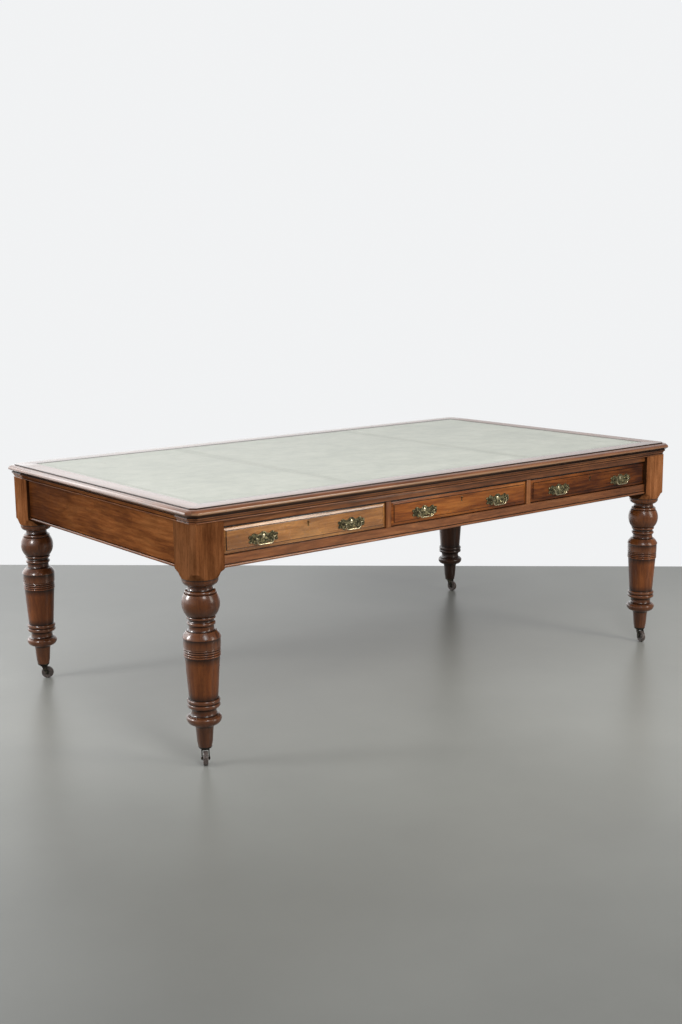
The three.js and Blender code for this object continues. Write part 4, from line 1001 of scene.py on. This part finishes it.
# %% The turner's profile
class Turning:
    """Radius and height, from the top down. Each call cuts one member below the last."""

    def __init__(self, radius, z):
        self.points = [(0.0, z), (radius, z)]
        self.radius, self.z = radius, z

    def line(self, radius, drop, steps=1):
        start, z = self.radius, self.z
        for n in range(1, steps + 1):
            self.points.append((start + (radius - start) * n / steps, z - drop * n / steps))
        self.radius, self.z = radius, z - drop
        return self

    def quarter(self, radius, drop, steps, swelling):
        across_first = (radius > self.radius) == swelling
        self.points += arc((self.radius, self.z), (radius, self.z - drop), steps, across_first)
        self.radius, self.z = radius, self.z - drop
        return self

    def swell(self, radius, drop, steps=7):
        return self.quarter(radius, drop, steps, True)

    def hollow(self, radius, drop, steps=7):
        return self.quarter(radius, drop, steps, False)

    def bead(self, bulge, drop, steps=8):
        for n in range(1, steps + 1):
            a = math.pi * n / steps
            self.points.append((self.radius + bulge * math.sin(a), self.z - drop * (1 - math.cos(a)) / 2))
        self.z -= drop
        return self

    def ball(self, radius, top, foot, steps=16):
        self.line(top, 0)
        start, end = math.acos(top / radius), -math.acos(foot / radius)
        centre = self.z - radius * math.sin(start)
        for n in range(1, steps + 1):
            a = start + (end - start) * n / steps
            self.points.append((radius * math.cos(a), centre + radius * math.sin(a)))
        self.radius, self.z = foot, centre + radius * math.sin(end)
        return self


low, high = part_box("leg_front_right")
LEG_TOP, LEG_FOOT = high.z, low.z
BLOCK_HALF, BLOCK_CANT = ((low + high) / 2).x - BLOCK_INNER_X, 0.010
BLOCK_CORNER = BLOCK_HALF * math.sqrt(2) - 0.0010
CUP_FOOT = BLOCK_FOOT - 0.030
BORE_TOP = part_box("caster_front_left_fork")[1].z + FIT_GAP
ANKLE, COVE, DISC, FOOT = 0.0125, 0.0115 + 0.002 + 0.0135, 0.007 + 0.020, 0.003 + 0.0654

turner = Turning(BLOCK_CORNER, LEG_TOP)
turner.line(BLOCK_CORNER, LEG_TOP - BLOCK_FOOT, 3).line(0.0620, 0.0095, 6)
turner.line(0.0548, 0.0145, 10).line(0.0540, 0.0012, 2).line(0.0535, 0.0008)
turner.line(0.0535, 0.004).swell(0.036, 0.017, 12).line(0.036, 0.004).hollow(0.043, 0.011).bead(0.003, 0.010)
turner.ball(0.0558, 0.0475, 0.043).line(0.040, 0.0015).bead(0.0026, 0.008).bead(-0.003, 0.009)
turner.line(0.0386, 0).bead(0.0032, 0.009).line(0.0368, 0.002).line(0.0368, 0.006, 2).hollow(0.0445, 0.011)
turner.line(0.0488, 0.0050, 3).line(0.0532, 0.0062, 4).line(0.0557, 0.0048, 4).line(0.0564, 0.0022, 2)
turner.line(0.0564, 0.0014).line(0.0546, 0.0006).line(0.0546, 0.028).line(0.0524, 0)
for _ in range(4):
    turner.line(0.0516, 0.0005).bead(0.0028, 0.0060, 6).line(0.0516, 0.0005)
turner.line(0.0428, turner.z - LEG_FOOT - (2 * ANKLE + 0.001 + COVE + DISC + FOOT), 6)
turner.line(0.0448, 0).bead(0.0039, ANKLE).line(0.0448, 0.001).bead(0.0039, ANKLE)
turner.hollow(0.0368, 0.0115).line(0.0368, 0.002).hollow(0.046, 0.0115).line(0.046, 0.002)
turner.swell(0.052, 0.007).swell(0.0315, 0.020, 10).line(0.0283, 0.003)
turner.line(0.0262, 0.0118, 2).line(0.0234, 0.0386, 3).line(0.0203, turner.z - LEG_FOOT, 2)
turner.line(0.0046, 0).line(0.0046, LEG_FOOT - BORE_TOP)
turner.points.append((0.0, BORE_TOP))
print("the profile has", len(turner.points), "points and ends at", round(turner.z, 4))

# %% [markdown]
# Where a point lies inside the average line of its neighbours it is in a hollow, and where it lies
# outside it stands proud. That difference, over a few millimetres up and down the leg, is the
# relief that the finish reads. Surfaces that look down are marked as hollows too, so they get
# painted shade, the foot gets a little painted shade throughout, and the block and its shoulder
# are plain down to the step at their end, which gets a thin painted shadow line.

# %% Relief along the profile
RELIEF_REACH, RELIEF_DEPTH, DOWN_SHADE = 0.004, 0.0009, 0.9
SHOULDER_END, STEP, STEP_HALF = BLOCK_FOOT - 0.0270, BLOCK_FOOT - 0.0256, 0.0008
INSIDE_BORE, FOOT_TOP, FOOT_SHADE = 0.016, LEG_FOOT + 0.054, -0.35


def profile_relief(points):
    radius, height = np.array(points).T
    order = np.argsort(height)
    made = []
    for r, z in points:
        near = np.linspace(z - RELIEF_REACH, z + RELIEF_REACH, 17)
        smooth = np.interp(near, height[order], radius[order]).mean()
        above, below = np.interp([z + 0.0006, z - 0.0006], height[order], radius[order])
        # Painted shade: surfaces that look down darken, the foot darkens a little throughout, and the step under the
        # block gets a thin shadow line.
        down_facing = min(0.0, (below - above) / math.hypot(below - above, 0.0012))
        relief = float(np.clip((r - smooth) / RELIEF_DEPTH + DOWN_SHADE * down_facing, -1, 1))
        if z > SHOULDER_END or r < INSIDE_BORE:
            relief = -1.0 if abs(z - STEP) < STEP_HALF else 0.0
        elif z < FOOT_TOP:
            relief = min(relief, FOOT_SHADE)
        made.append(relief)
    return made


profile_drawing = drawn_line("turners_profile", [(r, 0, z) for r, z in turner.points],
                             profile_relief(turner.points))
print("points in hollows:", sum(mark.value < 0 for mark in profile_drawing.data.attributes["relief"].data))

# %% [markdown]
# At any height a leg's outline is whichever is smaller in each direction: the square with its canted
# outer corner, or the circle that the tool left. That rule is short, so a node tree makes the leg: a
# grid of points, one row to each point of the turner's profile, is wrapped round the axis and pushed
# in to the smaller of the two.

# %% The leg's tree
leg_tree, leg_in, leg_out, leg_keys = new_tree("turned_leg", [
    ("Profile", "NodeSocketObject"), ("Sides", "NodeSocketInt"), ("Block Half", "NodeSocketFloat"),
    ("Cant", "NodeSocketFloat"), ("Cup Foot", "NodeSocketFloat"), ("Wood", "NodeSocketMaterial")])
profile = drawing_in(leg_tree, leg_in["Profile"])
rows = add(leg_tree, "GeometryNodeAttributeDomainSize", {"Geometry": profile}).outputs["Point Count"]
columns = reckon(leg_tree, "ADD", leg_in["Sides"], 1.0)
grid = add(leg_tree, "GeometryNodeMeshGrid", {"Vertices X": rows, "Vertices Y": columns})
index = add(leg_tree, "GeometryNodeInputIndex").outputs[0]
row = reckon(leg_tree, "FLOOR", reckon(leg_tree, "DIVIDE", reckon(leg_tree, "ADD", index, 0.5), columns))
column = reckon(leg_tree, "SUBTRACT", index, reckon(leg_tree, "MULTIPLY", row, columns))
turn = reckon(leg_tree, "DIVIDE", reckon(leg_tree, "MULTIPLY", column, 2 * math.pi), leg_in["Sides"])
cosine, sine = reckon(leg_tree, "COSINE", turn), reckon(leg_tree, "SINE", turn)


def from_profile(value, kind):
    """A value of the profile, at the point that this row of the grid stands for."""
    return add(leg_tree, "GeometryNodeSampleIndex", {"Geometry": profile, "Value": value, "Index": row},
               data_type=kind).outputs[0]


place = add(leg_tree, "GeometryNodeInputPosition").outputs[0]
marked = add(leg_tree, "GeometryNodeInputNamedAttribute", {"Name": "relief"}, data_type="FLOAT").outputs["Attribute"]
radius_here, _, height_here = add(leg_tree, "ShaderNodeSeparateXYZ", {0: from_profile(place, "FLOAT_VECTOR")}).outputs

widest = reckon(leg_tree, "MAXIMUM", reckon(leg_tree, "ABSOLUTE", cosine), reckon(leg_tree, "ABSOLUTE", sine))
to_side = reckon(leg_tree, "DIVIDE", leg_in["Block Half"], widest)
to_corner = reckon(leg_tree, "SUBTRACT", reckon(leg_tree, "MULTIPLY", leg_in["Block Half"], 2.0), leg_in["Cant"])
outward = reckon(leg_tree, "MULTIPLY", reckon(leg_tree, "ADD", cosine, sine), -1.0)
to_cant = reckon(leg_tree, "DIVIDE", to_corner, reckon(leg_tree, "MAXIMUM", outward, 0.0001))
in_turning = reckon(leg_tree, "LESS_THAN", height_here, leg_in["Cup Foot"])
post = reckon(leg_tree, "ADD", reckon(leg_tree, "MINIMUM", to_side, to_cant), in_turning)
reach = reckon(leg_tree, "MINIMUM", radius_here, post)
placed = add(leg_tree, "ShaderNodeCombineXYZ", {"X": reckon(leg_tree, "MULTIPLY", reach, cosine),
                                                "Y": reckon(leg_tree, "MULTIPLY", reach, sine), "Z": height_here})
wrapped = add(leg_tree, "GeometryNodeSetPosition", {"Geometry": grid.outputs["Mesh"], "Position": placed.outputs[0]})
stored = add(leg_tree, "GeometryNodeStoreNamedAttribute", {"Geometry": wrapped.outputs[0], "Name": "relief",
                                                           "Value": from_profile(marked, "FLOAT")}, data_type="FLOAT")
closed = add(leg_tree, "GeometryNodeMergeByDistance", {"Geometry": stored.outputs[0], "Distance": 0.000002})
send_out(leg_tree, leg_out, closed.outputs[0], leg_in["Wood"])
print("the leg's tree has", len(leg_tree.nodes), "nodes")

# %% [markdown]
# One leg is made and copied to the four corners, turned each time so that its canted corner looks
# outwards. The two back legs get lighter and darker copies of the finish, as painted light and
# painted shade.

# %% The four legs
LEG_SIDES = 120
CORNERS = ("front_left", "front_right", "back_right", "back_left")
leg_finishes = {"back_right": painted_shade_leg_wood, "back_left": painted_light_leg_wood}
leg = run_tree("turned_leg", leg_tree, leg_keys, {
    "Profile": profile_drawing, "Sides": LEG_SIDES, "Block Half": BLOCK_HALF, "Cant": BLOCK_CANT,
    "Cup Foot": CUP_FOOT, "Wood": leg_wood})
settle_faces(leg, 38)
for quarter, corner in enumerate(CORNERS):
    low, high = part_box("leg_" + corner)
    at = (low + high) / 2
    spot = Matrix.Translation((at.x, at.y, 0))
    turned_spot = spot @ Matrix.Rotation(quarter * math.pi / 2, 4, "Z")
    twin = hang(copied(leg, "turned_leg_" + corner, turned_spot), "table", "leg_wood", "leg_" + corner)
    twin.data.materials[0] = leg_finishes.get(corner, leg_wood)
print("each leg has", len(leg.data.polygons), "faces")
for master in (leg, profile_drawing):
    bpy.data.objects.remove(master)

# %% [markdown]
# ## The drawer fronts
# Each front is a fielded board: a rebate round its edge, a border that slopes up from there, a small
# quirk, and a raised field inside it. The rebate and the quirk are marked as hollows, so the finish
# paints them dark as shade. The rings of its skin are rectangles drawn in from the edge. A keyhole is
# then cut through the field, and a thin rim of brass is let in round it.

# %% The drawer fronts
KEY_DROP, KEY_SLOT, KEY_ROUND, KEY_LONG, RIM_WIDE = 0.027, 0.0015, 0.0032, 0.014, 0.0011
RIM_PROUD, RIM_SUNK = 0.0003, 0.00005


def keyhole(grown=0.0, steps=14):
    """The outline of a keyhole in X and Z about its middle: a round head on a straight slot."""
    half_slot, radius, length = KEY_SLOT + grown, KEY_ROUND + grown, KEY_LONG + 2 * grown
    head = length / 2 - radius
    start = math.asin(half_slot / radius)
    points = [(-half_slot, -length / 2), (half_slot, -length / 2)]
    for n in range(steps + 1):
        a = -math.pi / 2 + start + (2 * math.pi - 2 * start) * n / steps
        points.append((radius * math.cos(a), head + radius * math.sin(a)))
    return points


def prism(name, outline, y0, y1, finish):
    """An outline in X and Z carried along Y."""
    return skinned(name, [[(x, y, z) for x, z in outline] for y in (y0, y1)], finish, angle=30)


def fielded_front(name, low, high, finish):
    """Each row is how far in, how far back and how proud."""
    # The rebate and the quirk round the field are marked as hollows, which the finish paints dark as shade.
    rebate = [(0, high.y - low.y, -1), (0, 0.0090, -1), (0.0018, 0.0088, -1), (0.0020, 0.0046, -1),
              (0.0026, 0.0042, -1)]
    slope = [(0.0030, 0.0041, 0), (0.006, 0.0031, 0), (0.0112, 0.0017, 0)]
    field = [(0.0115, 0.0019, -1), (0.0128, 0.0019, -1), (0.0130, 0.0003, -1), (0.0136, 0.0, 0)]
    rows = rebate + slope + field
    rings = [[(low.x + i, low.y + back, low.z + i), (high.x - i, low.y + back, low.z + i),
              (high.x - i, low.y + back, high.z - i), (low.x + i, low.y + back, high.z - i)] for i, back, _ in rows]
    return skinned(name, rings, finish, [r for *_, r in rows], angle=20)


DRAWERS = {"left": pale_front, "centre": warm_front, "right": dark_front}
for tag, finish in DRAWERS.items():
    node = "drawer_" + tag + "_front"
    low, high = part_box(node)
    to_key = Matrix.Translation(((low.x + high.x) / 2, 0, high.z - KEY_DROP))
    front = fielded_front("fielded_" + tag, low, high, finish)
    hole = prism("hole", keyhole(), low.y - 0.01, high.y + 0.01, finish)
    hole.data.transform(to_key)
    cut_by(front, hole, 20)
    hang(front, "drawer_" + tag, "pale_mahogany" if tag == "left" else "mahogany", node)
    inner, outer, face = keyhole(), keyhole(RIM_WIDE), low.y - RIM_PROUD
    rim = skinned("keyhole_rim_" + tag, [[(x, y, z) for x, z in loop] for loop, y in (
        (inner, face), (outer, face + 0.0001), (outer, low.y + RIM_SUNK), (inner, low.y + RIM_SUNK))],
        plate_brass, wrap=True)
    rim.data.transform(to_key)
    hang(rim, "drawer_" + tag, "brass")
print("drawer fronts:", len(DRAWERS))

# %% [markdown]
# ## The handles
# Each handle is a thin cast plate with a shaped outline, two posts riveted to it and a bail that
# swings between them. The plate's outline is a half given as shares of its width and height,
# mirrored and rounded by a smooth curve. The posts and the small boss between them are turned.

# %% The plate and its posts
PLATE_SHARES = [(0, 1), (0.10, 0.98), (0.20, 0.80), (0.30, 0.64), (0.42, 0.66), (0.53, 0.82), (0.64, 0.90),
                (0.74, 0.78), (0.80, 0.58), (0.90, 0.62), (0.98, 0.50), (1.0, 0.30), (0.92, 0.10), (0.90, -0.04),
                (0.98, -0.20), (0.97, -0.42), (0.88, -0.56), (0.78, -0.50), (0.68, -0.60), (0.60, -0.76),
                (0.48, -0.84), (0.36, -0.70), (0.27, -0.62), (0.18, -0.80), (0.10, -0.96), (0, -1)]
PLATE_THICK, POST_X, POST_NECK, POST_HEAD = 0.0018, 0.037, 0.0028, 0.0046
ON_ITS_SIDE = Matrix.Rotation(math.pi / 2, 4, "X")


def smoothed(points, steps, closed=False):
    """A Catmull-Rom curve through points."""
    count, made = len(points), []
    for i in range(count if closed else count - 1):
        near = [(i + k) % count if closed else min(max(i + k, 0), count - 1) for k in (-1, 0, 1, 2)]
        p0, p1, p2, p3 = (np.array(points[n], float) for n in near)
        for n in range(steps):
            t = n / steps
            made.append(tuple(0.5 * ((2 * p1) + (p2 - p0) * t + (2 * p0 - 5 * p1 + 4 * p2 - p3) * t * t
                                     + (3 * p1 - p0 - 3 * p2 + p3) * t ** 3)))
    return made if closed else made + [points[-1]]


def lathe(name, profile, sides, finish, angle=34):
    """A turned piece about Z from (radius, height) points that start and end on the axis or meet."""
    turns = [2 * math.pi * i / sides for i in range(sides)]
    rings = [[(r * math.cos(a), r * math.sin(a), z) for a in turns] for r, z in profile]
    meets = profile[0] == profile[-1]
    return skinned(name, rings[:-1] if meets else rings, finish, wrap=meets, angle=angle)


def joined(name, pieces):
    """Several pieces as one object."""
    with bpy.context.temp_override(active_object=pieces[0], selected_editable_objects=pieces):
        bpy.ops.object.join()
    pieces[0].name = name
    return pieces[0]


low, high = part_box("handle_left_a_plate")
PLATE_BACK, plate_middle = high.y, (low.z + high.z) / 2
PIVOT = joint_place("bail_left_a_swing")
half = [(x * (high.x - low.x) / 2, z * (high.z - low.z) / 2) for x, z in PLATE_SHARES]
loop = smoothed(half + [(-x, z) for x, z in half[-2:0:-1]], 3, closed=True)
plate_rows = [(1.0, 0.0), (1.0, 0.55), (0.985, 0.9), (0.955, 1.0), (0.90, 1.0), (0.88, 0.72)]
plate = skinned("plate", [[(x * share, PLATE_BACK - PLATE_THICK * out, z * share) for x, z in loop]
                          for share, out in plate_rows], plate_brass, angle=40)
plate.data.transform(Matrix.Translation((PIVOT.x, 0, plate_middle)))

post_foot = PLATE_BACK - PLATE_THICK * 0.5
reach = post_foot - PIVOT.y
post_profile = [(0, 0), (0.0044, 0), (0.0044, 0.0016), (POST_NECK, 0.0032), (POST_NECK, reach - 0.0040)]
post_profile += [(POST_HEAD * math.cos(a), reach + POST_HEAD * math.sin(a)) for a in np.linspace(-0.9, 1.2, 9)]
post_profile += [(0, reach + POST_HEAD)]
parts = [plate]
for side in (-1, 1):
    post = lathe("post", post_profile, 24, plate_brass, 40)
    post.data.transform(Matrix.Translation((PIVOT.x + side * POST_X, post_foot, PIVOT.z)) @ ON_ITS_SIDE)
    parts.append(post)
boss = lathe("boss", [(0, 0), (0.0062, 0), (0.0058, 0.0007), (0.0034, 0.0013), (0, 0.0016)], 24, bail_brass, 40)
boss.data.transform(Matrix.Translation((PIVOT.x, PLATE_BACK - PLATE_THICK, PIVOT.z + 0.0035)) @ ON_ITS_SIDE)
plate = joined("handle_plate", parts + [boss])
print("plate faces:", len(plate.data.polygons))

# %% [markdown]
# The bail is a rod that follows a path, so Curve to Mesh draws it, thicker at its foot where the
# fingers pull.

# %% The bail's tree
rod_tree, rod_in, rod_out, rod_keys = new_tree("rod_along_a_path", [
    ("Path", "NodeSocketObject"), ("Radius", "NodeSocketFloat"), ("Foot Swell", "NodeSocketFloat"),
    ("Metal", "NodeSocketMaterial")])
rod_curve = add(rod_tree, "GeometryNodeMeshToCurve", {"Mesh": drawing_in(rod_tree, rod_in["Path"])}).outputs[0]
along_rod = add(rod_tree, "GeometryNodeSplineParameter").outputs["Factor"]
from_middle = reckon(rod_tree, "ABSOLUTE", reckon(rod_tree, "SUBTRACT", along_rod, 0.5))
swell = reckon(rod_tree, "MULTIPLY", reckon(rod_tree, "SUBTRACT", 0.5, from_middle), 2.0)
scale_here = reckon(rod_tree, "MULTIPLY_ADD", reckon(rod_tree, "POWER", swell, 3.0), rod_in["Foot Swell"], 1.0)
ring = add(rod_tree, "GeometryNodeCurvePrimitiveCircle", {"Resolution": 16, "Radius": rod_in["Radius"]})
rod = add(rod_tree, "GeometryNodeCurveToMesh", {"Curve": rod_curve, "Profile Curve": ring.outputs["Curve"],
                                                "Scale": scale_here, "Fill Caps": True})
send_out(rod_tree, rod_out, rod.outputs[0], rod_in["Metal"])
print("the rod's tree has", len(rod_tree.nodes), "nodes")

# %% [markdown]
# The path is half a bail, mirrored and smoothed. One plate and one bail are then copied to the six
# pivots that the frame gives.

# %% The six handles
ARM_X, FOOT_X, DROP, ROD_RADIUS, FOOT_SWELL = 0.0291, 0.022, 0.0186, 0.0019, 0.22
bends = [(0.0385, 0), (0.034, 0), (ARM_X + 0.0006, 0), (ARM_X, -0.0022), (ARM_X + 0.0002, -0.0065),
         (ARM_X - 0.0004, -0.0105), (ARM_X - 0.0028, -0.0152), (FOOT_X, -DROP + 0.0008),
         (FOOT_X - 0.005, -DROP), (0.008, -DROP + 0.0004), (0, -DROP)]
bail_line = smoothed(bends + [(-x, z) for x, z in bends[-2::-1]], 4)
bail_path = drawn_line("bail_path", [(PIVOT.x + x, PIVOT.y, PIVOT.z + z) for x, z in bail_line])
bail = run_tree("bail_rod", rod_tree, rod_keys, {"Path": bail_path, "Radius": ROD_RADIUS, "Foot Swell": FOOT_SWELL,
                                                 "Metal": bail_brass})
settle_faces(bail, 50)
handles = [f"{tag}_{hand}" for tag in DRAWERS for hand in ("a", "b")]
for stem in handles:
    move = Matrix.Translation(joint_place(f"bail_{stem}_swing") - PIVOT)
    hang(copied(plate, "cast_plate_" + stem, move), "drawer_" + stem[:-2], "brass", f"handle_{stem}_plate")
    hang(copied(bail, "bail_rod_" + stem, move), "bail_" + stem, "brass", f"handle_{stem}_bail")
for master in (plate, bail, bail_path):
    bpy.data.objects.remove(master)
print("handles:", len(handles))

# %% [markdown]
# ## The casters
# A caster is a ring under the foot, a fork that swivels in it and a hard wheel between the fork's
# arms. Ring, wheel and axle are turned. They are drawn once, for a caster that trails along +X.

# %% The casters' turned pieces
low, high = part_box("caster_front_left_socket")
SOCKET_FOOT, SOCKET_TOP, SOCKET_BORE = low.z, high.z, 0.0043
TRAIL = (joint_place("wheel_front_left_roll") - joint_place("caster_front_left_swivel")).xy.length
WHEEL_R, WHEEL_HALF, WHEEL_BORE = joint_place("wheel_front_left_roll").z, 0.008, 0.0033
ARM_IN, ARM_THICK, CROWN_FOOT, CROWN_TOP = 0.0088, 0.0032, 0.0445, 0.0485
AT_PIN = Matrix.Translation((TRAIL, 0, WHEEL_R)) @ ON_ITS_SIDE

socket = lathe("socket", [
    (SOCKET_BORE, SOCKET_FOOT), (0.0172, SOCKET_FOOT), (0.0186, SOCKET_FOOT + 0.0008), (0.0186, SOCKET_TOP - 0.0025),
    (0.0204, SOCKET_TOP - 0.0022), (0.0209, SOCKET_TOP - 0.0014), (0.0206, SOCKET_TOP), (SOCKET_BORE, SOCKET_TOP),
    (SOCKET_BORE, SOCKET_FOOT)], 48, caster_brass)
wheel_profile = [(WHEEL_BORE, -WHEEL_HALF), (0.0075, -WHEEL_HALF), (0.0085, -WHEEL_HALF + 0.0012),
                 (0.0150, -WHEEL_HALF + 0.0016), (0.0172, -WHEEL_HALF + 0.0008), (0.0192, -WHEEL_HALF + 0.0010),
                 (0.0205, -WHEEL_HALF + 0.0022), (0.0210, -WHEEL_HALF + 0.0040), (0.0210, 0.0)]
wheel_profile += [(r, -y) for r, y in wheel_profile[-2::-1]] + [wheel_profile[0]]
wheel = lathe("wheel", wheel_profile, 64, wheel_finish)
wheel.data.transform(AT_PIN)
end = ARM_IN + ARM_THICK + 0.0003
rivet = [(0.0029, end), (0.0045, end), (0.0040, end + 0.0008), (0.0024, end + 0.0015), (0, end + 0.0016)]
axle = lathe("axle", [(r, -y) for r, y in rivet[::-1]] + rivet, 24, caster_brass)
axle.data.transform(AT_PIN)
print("the wheel is", round(2 * WHEEL_R, 4), "m across and trails by", round(TRAIL, 4), "m")

# %% [markdown]
# The fork's arm is an outline carried through a thickness: it leans back from the crown to the
# wheel's pin, so that the wheel trails. Crown, boss, stem and arms are then joined, and the four
# pieces are copied to the four corners, turned the way each caster points.

# %% The fork and the four casters
EYE, CROWN_BACK, CROWN_FRONT, BOSS, STEM, PIN_HOLE = 0.0064, -0.0055, 0.0115, 0.0118, 0.0039, 0.0032
arm_line = [(CROWN_BACK, CROWN_TOP), (-0.0058, CROWN_FOOT), (-0.0030, CROWN_FOOT - 0.006),
            (0.0022, WHEEL_R + 0.008), (TRAIL - EYE, WHEEL_R + 0.001)]
arm_line += [(TRAIL + EYE * math.cos(a), WHEEL_R + EYE * math.sin(a))
             for a in np.linspace(math.pi, 2 * math.pi, 13)[1:]]
arm_line += [(TRAIL + EYE * 0.96, WHEEL_R + 0.004), (0.0160, WHEEL_R + 0.012), (0.0122, CROWN_FOOT - 0.003),
             (BOSS, CROWN_FOOT), (CROWN_FRONT, CROWN_TOP)]
crown = slab("crown", (CROWN_BACK, -ARM_IN - ARM_THICK, CROWN_FOOT), (CROWN_FRONT, ARM_IN + ARM_THICK, CROWN_TOP),
             caster_brass)
boss = lathe("boss", [(0, CROWN_FOOT), (BOSS, CROWN_FOOT), (BOSS, CROWN_TOP - 0.0006), (0.0110, CROWN_TOP),
                      (0, CROWN_TOP)], 40, caster_brass)
stem_piece = lathe("stem", [(0, CROWN_FOOT + 0.001), (STEM, CROWN_FOOT + 0.001), (STEM, BORE_TOP - 0.0012),
                            (0.0030, BORE_TOP - 0.0004), (0, BORE_TOP - 0.0004)], 24, caster_brass)
arms = []
for y in (ARM_IN, -ARM_IN - ARM_THICK):
    arm = eased(prism("arm", arm_line, y, y + ARM_THICK, caster_brass), 0.0006)
    bore = lathe("bore", [(0, -0.05), (PIN_HOLE, -0.05), (PIN_HOLE, 0.05), (0, 0.05)], 24, caster_brass)
    bore.data.transform(AT_PIN)
    cut_by(arm, bore, 40)
    arms.append(arm)
fork = joined("fork", [crown, boss, stem_piece, *arms])

for corner in CORNERS:
    leg_at, wheel_at = joint_place(f"caster_{corner}_swivel"), joint_place(f"wheel_{corner}_roll")
    heading = math.atan2(wheel_at.y - leg_at.y, wheel_at.x - leg_at.x)
    spot = Matrix.Translation((leg_at.x, leg_at.y, 0))
    turned_spot = spot @ Matrix.Rotation(heading, 4, "Z")
    hang(copied(socket, "caster_ring_" + corner, spot), "table", "brass", f"caster_{corner}_socket")
    for master, name, body, slot, kind in ((fork, "caster_yoke_", "caster_", "dark_brass", "fork"),
                                           (axle, "caster_pin_", "caster_", "dark_brass", "axle"),
                                           (wheel, "caster_roller_", "wheel_", "wheel", "wheel")):
        hang(copied(master, name + corner, turned_spot), body + corner, slot, f"caster_{corner}_{kind}")
for master in (socket, fork, axle, wheel):
    bpy.data.objects.remove(master)
print("casters:", len(CORNERS))

# %% [markdown]
# ## What stays as it came
# The drawer trays, the runners and the locks have the right shape already. They only need their
# finishes, which go into the nodes' own material slots.

# %% What stays as it came
plain_finishes = {"_tray": tray_wood, "runner_": runner_wood, "_lock": plate_brass}
for node, piece in frame["nodes"].items():
    for mark, finish in plain_finishes.items():
        if mark in node:
            for material_slot in piece.material_slots:
                material_slot.material = finish
print("finished nodes:", sum(not o.hide_render for o in frame["nodes"].values()))

# %% [markdown]
# ## The floor
# The floor is a wide pale sheet with a slow change of tone, a little glossy, so the feet and their
# shadows sit on something real. Over that it carries painted light: it is palest under the table and
# darker near the camera and near the wall, so its tone follows the distance from the camera, and a
# painted shadow lies round the back right leg. It ends a short way behind the table, where the white
# wall of the room would stand.
# That edge isn't quite square to the camera's view: it comes nearer on the right, which levels it
# in the picture, because the camera leans a little.

# %% The floor
FLOOR_NEAR, FLOOR_WIDE, WALL_AWAY, WALL_SKEW, FLOOR_RANGE = 12.0, 10.0, 6.23, 0.6, 8
# Painted light: the floor's brightness by distance from the camera.
FLOOR_LIGHT = ((2.3, 0.485), (2.8, 0.57), (3.3, 0.74), (3.8, 0.93), (4.4, 1.0), (5.0, 0.94), (5.6, 0.745),
               (6.1, 0.64))
# Painted shadow: a soft dark patch round the back right leg.
SHADE_AT, SHADE_INNER, SHADE_OUTER, SHADE_DEPTH = (1.05, 0.85, 0.0), 0.10, 0.60, 0.62
ahead = Vector((math.sin(CAMERA_TURN), math.cos(CAMERA_TURN), 0))
aside = Vector((ahead.y, -ahead.x, 0))
start = Vector((CAMERA_PLACE.x, CAMERA_PLACE.y, 0))

floor_finish, floor_tree, floor_shader = new_finish("pale_floor")
where = object_place(floor_tree)
tint = ramp(floor_tree, noise(floor_tree, where, 0.9, 6.0, Roughness=0.6),
            [(0.3, (0.350, 0.355, 0.331)), (0.7, (0.413, 0.419, 0.389))])
depth = add(floor_tree, "ShaderNodeVectorMath", {0: where, 1: ahead / FLOOR_RANGE},
            operation="DOT_PRODUCT").outputs["Value"]
lit = ramp(floor_tree, reckon(floor_tree, "SUBTRACT", depth, start.dot(ahead) / FLOOR_RANGE),
           [(away / FLOOR_RANGE, (share,) * 3) for away, share in FLOOR_LIGHT])
from_shade = add(floor_tree, "ShaderNodeVectorMath", {0: where, 1: SHADE_AT}, operation="DISTANCE").outputs["Value"]
shade = between(floor_tree, from_shade, SHADE_INNER, SHADE_OUTER, SHADE_DEPTH, 1.0)
feed(floor_tree, floor_shader, {"Base Color": tinted(floor_tree, tint, tinted(floor_tree, lit, shade)),
                                "Roughness": 0.34})
corners = [start + ahead * a + aside * b for a, b in ((-FLOOR_NEAR, -FLOOR_WIDE), (-FLOOR_NEAR, FLOOR_WIDE),
                                                      (WALL_AWAY - WALL_SKEW, FLOOR_WIDE),
                                                      (WALL_AWAY + WALL_SKEW, -FLOOR_WIDE))]
floor = new_piece("floor", corners, [(0, 1, 2, 3)], floor_finish)
print("the floor ends", WALL_AWAY, "m in front of the camera")
